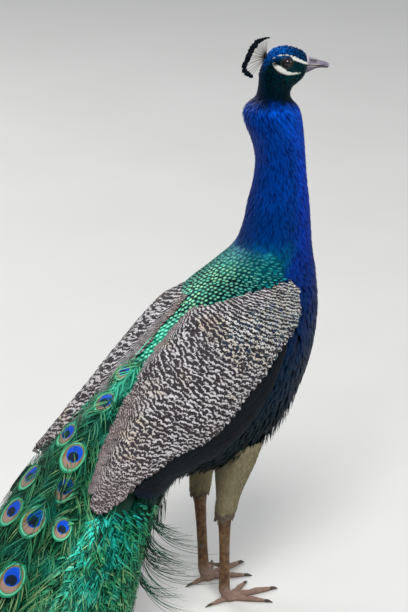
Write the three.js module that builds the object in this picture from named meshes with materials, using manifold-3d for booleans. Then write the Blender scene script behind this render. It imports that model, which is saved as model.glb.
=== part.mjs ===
// An Indian peacock standing at rest with its neck up, life size, in millimetres.
// +X runs from the train to the breast, +Y to the bird's left, +Z up, and the floor is z = 0.
import * as THREE from "three";
import { mergeVertices } from "three/addons/utils/BufferGeometryUtils.js";
import Module from "manifold-3d";

const wasm = await Module();
wasm.setup();

// ---- Driving dimensions ----------------------------------------------------------------

const ORIGIN_SHIFT = { x: 608, y: 0 }; // from a point between the feet to the middle of the bird's box
const GAP = 0.4; // between pieces that meet

const HEAD_TURN = -40; // degrees, the head looks to the bird's right
const NECK_X = 119; // the upright line that the head turns about

const EYE = { forward: 19, side: 12.4, z: 826, radius: 8.3 };
const CREST = { forward: -12, z: 831, root: 4, shafts: 15, first: 88, last: 234 };
const CREST_FEATHER = { thick: 1.1, vane: 8.5, vaneLong: 14 };
const CREST_REACH = [31, 27, 27, 30, 38, 44, 40]; // shaft lengths, foremost to hindmost

const LEGS = {
  right: { foot: [-2, -43], turn: -12, ankle: [-12, -43, 23], hock: [-16, -48, 149], top: [8, -52, 262] },
  left: { foot: [20, 34], turn: 8, ankle: [12, 35, 23], hock: [10, 42, 149], top: [24, 46, 262] },
};
const TOES = [
  { name: "middle", angle: 0, length: 60, radius: 6.6 },
  { name: "inner", angle: 36, length: 42, radius: 5.8 },
  { name: "outer", angle: -38, length: 45, radius: 5.8 },
  { name: "hind", angle: 172, length: 20, radius: 5 },
];
const CLAW_LENGTH = 13;
const TIPS = { count: 7, from: -1180, width: 112, spread: 13, reach: 235 };
const SPUR = { z: 62, length: 21, radius: 4.2 };

const SIDES = { body: 24, wing: 5, thigh: 12, shank: 10, toe: 6, claw: 5, bill: 10, shaft: 4, eye: 12 };
const FULLNESS = 2.2; // the power of a section's oval: 2 is an ellipse

// Sections from the forehead down the neck and back to the end of the train. Each lies in a
// plane across the bird through its dorsal and its ventral point.
//  [dorsal x, dorsal z, ventral x, ventral z, half width, turn about the neck's line in degrees]
const SECTIONS = [
  [169, 830, 166, 809, 7, HEAD_TURN],
  [164, 836, 161, 800, 11.5, HEAD_TURN],
  [154, 842, 154, 793, 15, HEAD_TURN],
  [141, 846, 148, 788, 18, HEAD_TURN],
  [127, 846, 145, 784, 19, HEAD_TURN],
  [113, 839, 144, 781, 19, HEAD_TURN],
  [104, 823, 143, 779, 19, HEAD_TURN],
  [97, 804, 143, 776, 20, -38],
  [95, 786, 143, 772, 21.5, -34], // throat
  [91, 771, 147, 765, 27, -28],
  [76, 755, 156, 754, 36, -22], // ruff of the nape
  [75, 733, 161, 736, 38, -15],
  [87, 703, 166, 704, 35.5, -8],
  [94, 672, 170, 672, 34.5, -3], // middle of the neck
  [91, 638, 173, 638, 38, 0],
  [82, 606, 176, 607, 43, 0],
  [75, 574, 178, 573, 47, 0],
  [59, 543, 179, 534, 55, 0],
  [22, 521, 181, 488, 72, 0], // shoulders
  [-25, 500, 180, 432, 87, 0],
  [-62, 472, 164, 362, 95, 0],
  [-100, 446, 125, 296, 98, 0],
  [-138, 420, 68, 246, 97, 0],
  [-172, 394, 5, 224, 93, 0],
  [-207, 364, -65, 230, 90, 0], // rump
  [-243, 329, -122, 232, 92, 0],
  [-285, 283, -165, 188, 104, 0],
  [-335, 225, -198, 132, 121, 0],
  [-390, 160, -222, 78, 140, 0],
  [-450, 105, -252, 22, 154, 0],
  [-535, 68, -370, -8, 158, 0], // from here on the train lies on the floor
  [-650, 50, -560, -8, 163, 0],
  [-790, 41, -745, -8, 171, 0],
  [-950, 34, -928, -8, 181, 0],
  [-1110, 28, -1098, -8, 180, 0],
  [-1235, 21, -1229, -8, 152, 0],
  [-1310, 14, -1307, -8, 92, 0],
];

// The lengths of that body, from one section number to another.
const LENGTHS = [
  { name: "head", from: 0, to: 8, step: 0.8, colour: "cobalt" },
  { name: "neck_upper", from: 8, to: 13, step: 0.625, colour: "cobalt" },
  { name: "neck_lower", from: 13, to: 17.5, step: 0.75, colour: "cobalt" },
  { name: "trunk", from: 17.5, to: 25, step: 0.75, colour: "petrol" },
  { name: "train_root", from: 25, to: 27, step: 0.75, colour: "emerald" },
  { name: "train_upper", from: 27, to: 30, step: 0.5, colour: "emerald" },
  { name: "train_middle", from: 30, to: 33, step: 0.75, colour: "emerald" },
  { name: "train_end", from: 33, to: 36, step: 0.75, colour: "bronze" },
];

// The feathers of a folded wing in parts that lie on the body, one below or behind another.
//  [section number, upper edge, lower edge in degrees from the middle of the back, lift, thickness]
const WING = {
  scapulars: {
    colour: "barred",
    rows: [
      [18.5, 52, 60, 2.8, 3],
      [18.9, 34, 64, 2.8, 7],
      [19.5, 10, 64, 2.8, 11],
      [20.5, 6, 60, 2.8, 14],
      [21.5, 6, 55, 2.8, 15],
      [22.3, 7, 49, 4, 16],
      [22.9, 11, 43, 6, 10],
    ],
  },
  coverts: {
    colour: "barred",
    rows: [
      [17.9, 70, 84, 2.8, 3],
      [18.5, 63, 93, 2.8, 9],
      [19.5, 66.5, 98, 2.8, 15],
      [20.5, 62.5, 91, 2.8, 16],
      [21.5, 57.5, 91, 2.8, 14],
      [22.5, 50, 93, 2.8, 11],
      [23.3, 45.5, 95, 2.8, 10],
      [24.2, 50.5, 97, 3.2, 10],
      [24.9, 55.5, 97, 4, 9],
      [25.5, 60, 90, 6, 7],
      [26, 64, 76, 9, 3],
    ],
  },
  tertials: {
    colour: "barred",
    rows: [
      [23.05, 13, 41.5, 4.5, 11],
      [23.6, 16, 44.5, 4.5, 13],
      [24.15, 20, 48, 4.5, 12],
      [24.8, 25, 52.5, 5, 12],
      [25.4, 27, 57, 6, 11],
      [25.95, 30, 59, 8, 8],
      [26.4, 40, 54, 10, 3],
    ],
  },
  secondaries: {
    colour: "midnight",
    rows: [
      [20.2, 96, 102, 2.8, 3],
      [20.9, 95, 106, 2.8, 7],
      [21.8, 95, 109, 2.8, 9],
      [22.8, 97.5, 116, 2.8, 9],
      [23.7, 99.5, 121, 3, 8],
      [24.5, 101.5, 122, 4, 7],
      [25.2, 98.5, 116, 5, 5],
      [25.7, 92, 105, 7, 3],
    ],
  },
};

const COLOURS = {
  cobalt: new THREE.Color(0.02, 0.1, 0.5),
  petrol: new THREE.Color(0.01, 0.13, 0.17),
  emerald: new THREE.Color(0.03, 0.3, 0.17),
  bronze: new THREE.Color(0.16, 0.24, 0.08),
  barred: new THREE.Color(0.4, 0.37, 0.31),
  midnight: new THREE.Color(0.01, 0.02, 0.05),
  buff: new THREE.Color(0.55, 0.45, 0.32),
  scute: new THREE.Color(0.36, 0.22, 0.17),
  horn: new THREE.Color(0.42, 0.39, 0.42),
  claw: new THREE.Color(0.1, 0.08, 0.07),
  iris: new THREE.Color(0.05, 0.02, 0.01),
};

// ---- Making solids ---------------------------------------------------------------------

const radians = THREE.MathUtils.degToRad;
const lerp = THREE.MathUtils.lerp;

function facingOut(geometry) {
  const points = geometry.getAttribute("position");
  const index = geometry.getIndex().array;
  const corner = [0, 1, 2].map(() => new THREE.Vector3());
  let volume = 0;
  for (let i = 0; i < index.length; i += 3) {
    corner.forEach((c, j) => c.fromBufferAttribute(points, index[i + j]));
    volume += corner[0].dot(corner[1].cross(corner[2]));
  }
  if (volume < 0) index.reverse();
  return geometry;
}

// A closed solid through rings of points. Every ring has as many points, in the same order.
function throughRings(rings) {
  const count = rings[0].length;
  const points = rings.flat();
  const faces = [];
  for (let i = 0; i + 1 < rings.length; i++) {
    for (let j = 0; j < count; j++) {
      const a = i * count + j;
      const b = i * count + ((j + 1) % count);
      faces.push(a, b, a + count, b, b + count, a + count);
    }
  }
  [rings[0], rings.at(-1)].forEach((ring, end) => {
    const start = end * (rings.length - 1) * count;
    const middle = ring.reduce((sum, p) => sum.add(p), new THREE.Vector3()).divideScalar(count);
    const hub = points.push(middle) - 1;
    for (let j = 0; j < count; j++) {
      const a = start + j;
      const b = start + ((j + 1) % count);
      faces.push(...(end ? [a, b, hub] : [b, a, hub]));
    }
  });
  const geometry = new THREE.BufferGeometry().setFromPoints(points);
  return facingOut(geometry.setIndex(faces));
}

function toManifold(geometry) {
  const vertProperties = new Float32Array(geometry.getAttribute("position").array);
  const triVerts = new Uint32Array(geometry.getIndex().array);
  return new wasm.Manifold(new wasm.Mesh({ numProp: 3, vertProperties, triVerts }));
}

function toGeometry(manifold) {
  const mesh = manifold.getMesh();
  const points = [];
  for (let i = 0; i < mesh.vertProperties.length; i += mesh.numProp) {
    points.push(...mesh.vertProperties.slice(i, i + 3));
  }
  const geometry = new THREE.BufferGeometry();
  geometry.setAttribute("position", new THREE.Float32BufferAttribute(points, 3));
  geometry.setIndex([...mesh.triVerts]);
  return geometry;
}

function cut(geometry, ...tools) {
  return toGeometry(tools.reduce((solid, tool) => solid.subtract(toManifold(tool)), toManifold(geometry)));
}

function join(geometries) {
  return toGeometry(geometries.map(toManifold).reduce((solid, other) => solid.add(other)));
}

function aboveFloor(geometry) {
  return toGeometry(toManifold(geometry).trimByPlane([0, 0, 1], 0));
}

// A row of numbers between two rows of a table, smooth along it, read by the table's first column.
function smoothRow(table, t) {
  const last = table.length - 1;
  let i = 0;
  while (i < last - 1 && table[i + 1][0] <= t) i++;
  const [a, b] = [table[i], table[i + 1]];
  const before = table[Math.max(i - 1, 0)];
  const after = table[Math.min(i + 2, last)];
  const u = (t - a[0]) / (b[0] - a[0]);
  return a.map((value, k) => {
    const step = b[0] - a[0];
    const slopeA = ((b[k] - before[k]) / (b[0] - before[0])) * step;
    const slopeB = ((after[k] - value) / (after[0] - a[0])) * step;
    const [u2, u3] = [u * u, u * u * u];
    return (2 * u3 - 3 * u2 + 1) * value + (u3 - 2 * u2 + u) * slopeA
      + (3 * u2 - 2 * u3) * b[k] + (u3 - u2) * slopeB;
  });
}

const TRUNK = LENGTHS.find((part) => part.name === "trunk");
const NUMBERED = SECTIONS.map((row, number) => [number, ...row]);

// The section of the body at a number that may lie between two rows: its middle and its two half axes.
function sectionAt(number) {
  const [, dorsalX, dorsalZ, ventralX, ventralZ, halfWidth, turn] = smoothRow(NUMBERED, number);
  const spin = (x, y, z) => {
    const from = new THREE.Vector3(x - NECK_X, y, z);
    return from.applyAxisAngle(new THREE.Vector3(0, 0, 1), radians(turn));
  };
  const middle = spin((dorsalX + ventralX) / 2, 0, (dorsalZ + ventralZ) / 2);
  const up = spin(NECK_X + (dorsalX - ventralX) / 2, 0, (dorsalZ - ventralZ) / 2);
  const side = spin(NECK_X, halfWidth, 0);
  middle.x += NECK_X;
  const along = up.clone().cross(side).normalize();
  return { middle, up, side, along };
}

// The point of the body's surface in that section at an angle from the back, positive to the bird's left.
function surfacePoint(section, angle, grow = 0, shift = 0) {
  const [c, s] = [Math.cos(angle), Math.sin(angle)];
  const round = (value) => Math.sign(value) * Math.abs(value) ** (2 / FULLNESS);
  const out = section.up.clone().normalize().multiplyScalar(round(c) * (section.up.length() + grow));
  out.addScaledVector(section.side.clone().normalize(), round(s) * (section.side.length() + grow));
  return section.middle.clone().add(out).addScaledVector(section.along, shift);
}

function bodyLength({ from, to, step }, grow = 0) {
  const numbers = [];
  for (let number = from; number < to - step / 4; number += step) numbers.push(number);
  numbers.push(to);
  const angles = Array.from({ length: SIDES.body }, (_, j) => (2 * Math.PI * j) / SIDES.body);
  return throughRings(numbers.map((number) => {
    const shift = number === from ? GAP / 2 - grow : number === to ? grow - GAP / 2 : 0;
    return angles.map((angle) => surfacePoint(sectionAt(number), angle, grow, shift));
  }));
}

// Feathers of a wing: a slab on the body, thin along its edges. Side is +1 on the left and -1
// on the right.
function wingPart(rows, side) {
  const first = rows[0][0];
  const last = rows.at(-1)[0];
  const numbers = [first];
  for (let number = TRUNK.from; number < last - 0.2; number += TRUNK.step) {
    if (number > first + 0.2) numbers.push(number);
  }
  numbers.push(last);
  const rings = numbers.map((number) => {
    const [, upper, lower, lift, thickness] = smoothRow(rows, number);
    const section = sectionAt(number);
    const inner = [];
    const outer = [];
    for (let j = 0; j <= SIDES.wing; j++) {
      const t = j / SIDES.wing;
      const angle = side * radians(lerp(upper, lower, t));
      const full = 0.25 + 0.75 * Math.sqrt(1 - (2 * t - 1) ** 4);
      inner.push(surfacePoint(section, angle, lift));
      outer.unshift(surfacePoint(section, angle, lift + thickness * full));
    }
    return [...inner, ...outer];
  });
  return throughRings(rings);
}

// A limb through [x, y, z, half length, half width] rows, its rings level or square to a given direction.
function limb(rows, sides, direction = new THREE.Vector3(0, 0, 1), forward = new THREE.Vector3(1, 0, 0)) {
  const across = direction.clone().cross(forward).normalize();
  const rings = rows.map(([x, y, z, long, wide]) => {
    const angles = Array.from({ length: sides }, (_, j) => (2 * Math.PI * (j + 0.5)) / sides);
    return angles.map((angle) => {
      const point = new THREE.Vector3(x, y, z);
      point.addScaledVector(forward, Math.cos(angle) * long);
      return point.addScaledVector(across, Math.sin(angle) * wide);
    });
  });
  return throughRings(rings);
}

function grown(rows, grow) {
  return rows.map(([x, y, z, long, wide]) => [x, y, z, long + grow, wide + grow]);
}

function between(a, b, t) {
  return a.map((value, i) => lerp(value, b[i], t));
}

// ---- The parts -------------------------------------------------------------------------

// From the head's own axes (forward, to its left, up) to the bird's.
function fromHead(forward, left, z) {
  const turn = radians(HEAD_TURN);
  const x = NECK_X + forward * Math.cos(turn) - left * Math.sin(turn);
  return new THREE.Vector3(x, forward * Math.sin(turn) + left * Math.cos(turn), z);
}

// One half of the bill through [forward, top, bottom, half width] rows.
function billHalf(rows, grow = 0) {
  const rings = rows.map(([forward, top, bottom, half], i) => {
    const angles = Array.from({ length: SIDES.bill }, (_, j) => (2 * Math.PI * j) / SIDES.bill);
    const back = i === 0 ? -grow : i === rows.length - 1 ? grow : 0;
    return angles.map((angle) => {
      const z = (top + bottom) / 2 + Math.cos(angle) * ((top - bottom) / 2 + grow);
      return fromHead(forward + back, Math.sin(angle) * (half + grow), z);
    });
  });
  return throughRings(rings);
}

const UPPER_BILL = [
  [44.5, 832.6, 820.8, 7],
  [51, 831.8, 820.3, 6.6],
  [57.5, 830.2, 819.9, 5.8],
  [63.5, 827.8, 819.7, 4.9],
  [69, 825.8, 819.6, 4.1],
  [75, 824.4, 819.2, 3.3],
  [79.5, 822.2, 817.9, 2.4],
  [82.8, 819.6, 816.2, 1.6],
  [85, 817.6, 814.8, 0.8],
];
const LOWER_BILL = [
  [43.5, 819.4, 806.2, 6.6],
  [50, 819.2, 808.6, 6],
  [56, 818.9, 811.6, 5.2],
  [62, 818.7, 814.4, 4.3],
  [69, 818.4, 815.2, 3.3],
  [74.5, 817.9, 815, 2.4],
  [79, 816.8, 814.8, 1.2],
];

function ball(forward, left, z, radius, sides) {
  const sphere = new THREE.SphereGeometry(radius, sides, Math.round(sides * 0.6));
  sphere.rotateX(Math.PI / 2);
  sphere.deleteAttribute("normal");
  sphere.deleteAttribute("uv");
  const centre = fromHead(forward, left, z);
  return mergeVertices(sphere.translate(centre.x, centre.y, centre.z), 1e-4);
}

function eyeball(side, grow = 0) {
  return ball(EYE.forward, side * EYE.side, EYE.z, EYE.radius + grow, SIDES.eye);
}

// The crest: bare shafts from one root, each with a small vane at its tip.
function crest() {
  const { thick, vane, vaneLong } = CREST_FEATHER;
  const pieces = [ball(CREST.forward, 0, CREST.z, CREST.root, 10)];
  for (let i = 0; i < CREST.shafts; i++) {
    const t = i / (CREST.shafts - 1);
    const angle = radians(lerp(CREST.first, CREST.last, t));
    const place = t * (CREST_REACH.length - 1);
    const low = Math.min(Math.floor(place), CREST_REACH.length - 2);
    const reach = lerp(CREST_REACH[low], CREST_REACH[low + 1], place - low);
    const aside = i % 2 ? 0.09 : -0.09;
    const ringAt = (r, across, deep) => Array.from({ length: SIDES.shaft }, (_, j) => {
      const round = (2 * Math.PI * j) / SIDES.shaft;
      const off = Math.cos(round) * across;
      const forward = CREST.forward + Math.cos(angle) * r - Math.sin(angle) * off;
      const z = CREST.z + Math.sin(angle) * r + Math.cos(angle) * off;
      return fromHead(forward, aside * r + Math.sin(round) * deep, z);
    });
    pieces.push(throughRings([
      ringAt(1, thick / 2, thick / 2),
      ringAt(reach - vaneLong, thick / 2, thick / 2),
      ringAt(reach - vaneLong * 0.4, vane / 2, 0.7),
      ringAt(reach, 1.5, 0.5),
    ]));
  }
  return join(pieces);
}

function thigh(leg, grow = 0) {
  const [hock, top] = [leg.hock, leg.top];
  const rows = [0, 0.14, 0.3, 0.5, 0.72, 1].map((t, i) => {
    const long = [14.5, 17.5, 21, 26, 33, 40][i];
    const wide = [12, 14.5, 17, 23, 29, 34][i];
    return [...between(hock, top, t), long + grow, wide + grow];
  });
  rows[0][2] -= grow;
  return limb(rows, SIDES.thigh);
}

function shank(leg, grow = 0) {
  const [ankle, hock] = [leg.ankle, leg.hock];
  const rows = [0, 0.12, 0.3, 0.6, 0.85, 1, 1.08].map((t, i) => {
    const long = [10, 9.4, 9, 9.2, 10.6, 13.5, 10.5][i];
    const wide = [8.2, 7.4, 6.9, 7.1, 8.4, 10.5, 8][i];
    return [...between(ankle, hock, t), long, wide];
  });
  return limb(grown(rows, grow), SIDES.shank);
}

function footPad(leg, grow = 0) {
  const [x, y] = leg.foot;
  const [ankleX, ankleY, ankleZ] = leg.ankle;
  const rows = [
    [x, y, -2, 8, 8],
    [x, y, 4, 11.5, 10.5],
    [lerp(x, ankleX, 0.4), lerp(y, ankleY, 0.4), 11, 11, 9.5],
    [lerp(x, ankleX, 0.9), lerp(y, ankleY, 0.9), 18, 10, 8.3],
    [ankleX, ankleY, ankleZ - GAP, 9.5, 7.6],
  ];
  return aboveFloor(limb(grown(rows, grow), SIDES.shank));
}

// A toe lies on the floor on its pads; its claw starts where the toe ends.
function toeAndClaw(leg, toe, side, grow = 0) {
  const heading = radians(leg.turn + side * toe.angle);
  const forward = new THREE.Vector3(Math.cos(heading), Math.sin(heading), 0);
  const up = new THREE.Vector3(0, 0, 1);
  const start = new THREE.Vector3(leg.foot[0], leg.foot[1], 0).addScaledVector(forward, 4);
  const row = (distance, z, high, wide) => {
    const p = start.clone().addScaledVector(forward, distance);
    return [p.x, p.y, z, high, wide];
  };
  const { length, radius: r } = toe;
  const pads = [
    [0, 0.95, 0.9],
    [0.28, 1, 0.94],
    [0.44, 0.82, 0.78],
    [0.64, 0.88, 0.84],
    [1, 0.55, 0.55],
  ];
  const rows = pads.map(([t, high, wide]) => row(t * (length + 8), r * high * 0.86, r * high, r * wide));
  const body = aboveFloor(limb(grown(rows, grow), SIDES.toe, forward, up));
  const tip = length + 8 + GAP;
  const c = CLAW_LENGTH;
  const claw = limb([
    row(tip, r * 0.5, r * 0.5, r * 0.42),
    row(tip + c * 0.55, r * 0.42, r * 0.4, r * 0.32),
    row(tip + c, 0.5, 0.6, 0.5),
  ], SIDES.claw, forward, up);
  return { toe: body, claw: aboveFloor(claw) };
}

// The spur points back and inward from the shank.
function spur(leg, side) {
  const t = (SPUR.z - leg.ankle[2]) / (leg.hock[2] - leg.ankle[2]);
  const [x, y, z] = between(leg.ankle, leg.hock, t);
  const direction = new THREE.Vector3(-0.75, -side * 0.6, 0.12).normalize();
  const up = new THREE.Vector3(0, 0, 1).addScaledVector(direction, -0.12).normalize();
  const row = (distance, rise, radius) => {
    const p = new THREE.Vector3(x, y, z + rise).addScaledVector(direction, distance);
    return [p.x, p.y, p.z, radius, radius];
  };
  const r = SPUR.radius;
  const rows = [
    row(3, 0, r),
    row(8, 0, r * 0.9),
    row(14, 0.6, r * 0.62),
    row(20, 1.8, r * 0.35),
    row(7 + SPUR.length, 3.5, 0.5),
  ];
  return limb(rows, SIDES.toe, direction, up);
}

// The stiff tail feathers under the train, a fan that props it up.
function tail() {
  const rows = [
    [-118, 226, 36, 7],
    [-144, 192, 44, 10],
    [-172, 148, 52, 12],
    [-192, 100, 60, 13],
    [-206, 58, 68, 11],
    [-217, 29, 60, 6],
  ];
  const rings = rows.map(([x, z, half, thick]) => {
    const angles = Array.from({ length: 14 }, (_, j) => (2 * Math.PI * j) / 14);
    return angles.map((angle) => {
      const y = Math.cos(angle) * half;
      const bow = (y / 84) ** 2;
      return new THREE.Vector3(x + Math.sin(angle) * thick - 24 * bow, y, z - 8 * bow);
    });
  });
  return throughRings(rings);
}

// The longest feathers of the train, their tips fanned out flat on the floor.
function trainTips() {
  const tips = [];
  for (let i = 0; i < TIPS.count; i++) {
    const t = (2 * i) / (TIPS.count - 1) - 1;
    const heading = radians(t * TIPS.spread);
    const reach = TIPS.reach - 60 * t * t - (i % 2 ? 26 : 0);
    const direction = new THREE.Vector3(-Math.cos(heading), Math.sin(heading), 0);
    const start = new THREE.Vector3(TIPS.from + 60 * t * t, t * TIPS.width, 0);
    const rows = [
      [0, 9, 9, 30],
      [reach * 0.55, 8, 8, 38],
      [reach * 0.9, 4, 4, 24],
      [reach, 1, 1.5, 4],
    ].map(([distance, z, high, wide]) => {
      const p = start.clone().addScaledVector(direction, distance);
      return [p.x, p.y, z - 1, high, wide];
    });
    tips.push(aboveFloor(limb(rows, 6, direction, new THREE.Vector3(0, 0, 1))));
  }
  return tips;
}

// ---- The bird --------------------------------------------------------------------------

const bird = new THREE.Group();
bird.name = "peacock";

function add(name, geometry, colour, roughness = 0.6, metalness = 0) {
  const placed = geometry.clone().translate(ORIGIN_SHIFT.x, ORIGIN_SHIFT.y, 0);
  const material = new THREE.MeshStandardMaterial({ color: COLOURS[colour], roughness, metalness });
  material.name = colour;
  const mesh = new THREE.Mesh(placed, material);
  mesh.name = name;
  bird.add(mesh);
}

const sides = [["right", -1], ["left", 1]];
const lengths = Object.fromEntries(LENGTHS.map((part) => [part.name, bodyLength(part)]));
const trunkRoom = bodyLength(TRUNK, GAP);

lengths.head = cut(
  lengths.head,
  billHalf(UPPER_BILL, GAP),
  billHalf(LOWER_BILL, GAP),
  eyeball(1, GAP),
  eyeball(-1, GAP),
  ball(CREST.forward, 0, CREST.z, CREST.root + GAP, 10),
);
for (const name of ["train_upper", "train_middle", "train_end"]) lengths[name] = aboveFloor(lengths[name]);
lengths.train_end = join([lengths.train_end, ...trainTips()]);

for (const part of LENGTHS) add(part.name, lengths[part.name], part.colour);
add("bill_upper", billHalf(UPPER_BILL), "horn", 0.4);
add("bill_lower", billHalf(LOWER_BILL), "horn", 0.4);
add("crest", crest(), "cobalt");
const besideTail = LENGTHS.filter((part) => ["trunk", "train_root", "train_upper"].includes(part.name));
add("tail", cut(tail(), ...besideTail.map((part) => bodyLength(part, 2 * GAP))), "bronze");

for (const [name, side] of sides) {
  const leg = LEGS[name];
  add(`eye_${name}`, eyeball(side), "iris", 0.1);
  for (const [part, { colour, rows }] of Object.entries(WING)) {
    add(`wing_${name}_${part}`, wingPart(rows, side), colour);
  }
  add(`thigh_${name}`, cut(thigh(leg), trunkRoom, shank(leg, GAP)), "buff");
  add(`shank_${name}`, shank(leg), "scute", 0.5);
  add(`spur_${name}`, cut(spur(leg, side), shank(leg, GAP)), "horn", 0.4);
  add(`foot_${name}`, footPad(leg), "scute", 0.5);
  const room = [footPad(leg, GAP)];
  for (const toe of TOES) {
    const pieces = toeAndClaw(leg, toe, side);
    add(`toe_${name}_${toe.name}`, cut(pieces.toe, ...room), "scute", 0.5);
    add(`claw_${name}_${toe.name}`, pieces.claw, "claw", 0.35);
    room.push(toeAndClaw(leg, toe, side, GAP).toe);
  }
}

export default bird;
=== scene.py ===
"""An Indian peacock standing at rest: skin, feathers, eyes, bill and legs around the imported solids.

Feathers are laid on a surface that is given by a section number, from 0 at the forehead to 36 at the
end of the train, and an angle from the middle of the back, positive to the bird's left.
"""

import math

import bmesh
import bpy
import numpy as np
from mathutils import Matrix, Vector


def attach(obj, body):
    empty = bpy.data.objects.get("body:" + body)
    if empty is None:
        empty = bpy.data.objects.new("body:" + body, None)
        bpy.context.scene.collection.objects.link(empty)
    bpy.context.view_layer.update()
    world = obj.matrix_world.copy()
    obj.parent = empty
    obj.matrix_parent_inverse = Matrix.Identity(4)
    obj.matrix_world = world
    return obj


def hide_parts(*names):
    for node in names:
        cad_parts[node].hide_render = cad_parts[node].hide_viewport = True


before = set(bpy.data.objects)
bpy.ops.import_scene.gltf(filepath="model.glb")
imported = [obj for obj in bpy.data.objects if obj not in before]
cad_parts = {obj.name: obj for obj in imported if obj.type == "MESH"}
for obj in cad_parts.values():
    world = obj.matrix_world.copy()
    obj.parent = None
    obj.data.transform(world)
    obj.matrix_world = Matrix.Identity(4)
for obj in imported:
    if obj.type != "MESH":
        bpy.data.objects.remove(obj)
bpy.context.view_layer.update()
rng = np.random.default_rng(7)

# ---- The body's surface ----------------------------------------------------------------------------

MM = 0.001
SHIFT_X = 0.608  # from between the feet to the middle of the box
NECK_X = 119
HEAD_TURN = -40
FULLNESS = 2.2

# dorsal x, dorsal z, ventral x, ventral z, half width, turn in degrees; millimetres from between the feet
SECTIONS = np.array([
    [169, 830, 166, 809, 7, HEAD_TURN],
    [164, 836, 161, 800, 11.5, HEAD_TURN],
    [154, 842, 154, 793, 15, HEAD_TURN],
    [141, 846, 148, 788, 18, HEAD_TURN],
    [127, 846, 145, 784, 19, HEAD_TURN],
    [113, 839, 144, 781, 19, HEAD_TURN],
    [104, 823, 143, 779, 19, HEAD_TURN],
    [97, 804, 143, 776, 20, -38],
    [95, 786, 143, 772, 21.5, -34],
    [91, 771, 147, 765, 27, -28],
    [76, 755, 156, 754, 36, -22],
    [75, 733, 161, 736, 38, -15],
    [87, 703, 166, 704, 35.5, -8],
    [94, 672, 170, 672, 34.5, -3],
    [91, 638, 173, 638, 38, 0],
    [82, 606, 176, 607, 43, 0],
    [75, 574, 178, 573, 47, 0],
    [59, 543, 179, 534, 55, 0],
    [22, 521, 181, 488, 72, 0],
    [-25, 500, 180, 432, 87, 0],
    [-62, 472, 164, 362, 95, 0],
    [-100, 446, 125, 296, 98, 0],
    [-138, 420, 68, 246, 97, 0],
    [-172, 394, 5, 224, 93, 0],
    [-207, 364, -65, 230, 90, 0],
    [-243, 329, -122, 232, 92, 0],
    [-285, 283, -165, 188, 104, 0],
    [-335, 225, -198, 132, 121, 0],
    [-390, 160, -222, 78, 140, 0],
    [-450, 105, -252, 22, 154, 0],
    [-535, 68, -370, -8, 158, 0],
    [-650, 50, -560, -8, 163, 0],
    [-790, 41, -745, -8, 171, 0],
    [-950, 34, -928, -8, 181, 0],
    [-1110, 28, -1098, -8, 180, 0],
    [-1235, 21, -1229, -8, 152, 0],
    [-1310, 14, -1307, -8, 92, 0],
    [-1400, 9, -1398, -6, 40, 0],  # beyond the skin: where the last feathers end
])
SECTION_NUMBERS = np.arange(len(SECTIONS), dtype=float)
LAST = 36  # the last section of the skin; feathers' shades hold section / LAST

# the wing: section number, upper edge, lower edge in degrees, lift and thickness in millimetres
WING = np.array([
    [17.85, 78, 84, 2.5, 2],
    [18.1, 64, 91, 2.6, 6],
    [18.5, 44, 94, 2.8, 9],
    [18.9, 32.5, 96, 2.8, 12],
    [19.25, 21, 95, 2.8, 13],
    [19.5, 8, 92.5, 2.8, 14],
    [19.9, 6, 89, 2.8, 15],
    [20.5, 5.5, 87, 2.8, 16],
    [21.5, 5.5, 86, 2.8, 15],
    [22.3, 7, 88.5, 3.4, 14],
    [23.0, 11, 90, 4, 13],
    [23.6, 13.5, 90, 4, 12],
    [24.2, 20, 88, 4, 12],
    [24.9, 24, 86, 4.5, 11],
    [25.4, 26, 76, 6, 10],
    [25.95, 30, 65, 8, 9],
    [26.4, 38, 52, 10, 4],
])
# the flight feathers below it, in the same way
FLIGHT = np.array([
    [19.6, 88, 96, 2.0, 3],
    [20.2, 84, 96, 2.5, 4],
    [20.9, 80, 99, 2.5, 6],
    [21.8, 78, 102, 2.5, 8],
    [22.8, 80, 107, 2.5, 8],
    [23.7, 80, 116, 3, 7],
    [24.5, 80, 125, 4, 6],
    [25.2, 78, 121, 5, 5],
    [25.65, 72, 93, 6, 4],
    [25.95, 66, 79, 7, 3],
    [26.2, 57, 62, 8, 3],
])


# upper edges as the photo shows them: the left wing lies further over the back, its front further down
WING_UPPER = {
    -1: ([17.85, 18.1, 18.5, 18.9, 19.25, 19.5, 19.9, 20.5, 21.5, 22.3, 23.1, 23.8, 24.3, 24.9, 25.4, 25.95,
          26.4],
         [78, 64, 44, 32.5, 21, 8, 6, 5.2, 8, 11, 16, 18, 20.7, 24, 26, 30, 38]),
    1: ([17.85, 18.1, 18.5, 18.9, 19.06, 19.2, 19.65, 20.8, 22.1, 22.7, 23.5, 24.4, 25.0, 25.4, 25.7, 25.9],
        [78, 72, 62, 57, 45, 4, 4, 3.2, 0.6, 0.8, 1, 4.5, 10, 17, 32, 52]),
}


def smooth_rows(keys, rows, t):
    """Rows of a table at t, smooth along it."""
    last = len(keys) - 1
    t = np.clip(t, keys[0], keys[-1])
    i = np.clip(np.searchsorted(keys, t, side="right") - 1, 0, last - 1)
    before, after = np.maximum(i - 1, 0), np.minimum(i + 2, last)
    step = keys[i + 1] - keys[i]
    u = ((t - keys[i]) / step)[..., None]
    slope_a = (rows[i + 1] - rows[before]) * (step / (keys[i + 1] - keys[before]))[..., None]
    slope_b = (rows[after] - rows[i]) * (step / (keys[after] - keys[i]))[..., None]
    return (
        (2 * u**3 - 3 * u**2 + 1) * rows[i]
        + (u**3 - 2 * u**2 + u) * slope_a
        + (3 * u**2 - 2 * u**3) * rows[i + 1]
        + (u**3 - u**2) * slope_b
    )


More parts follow.
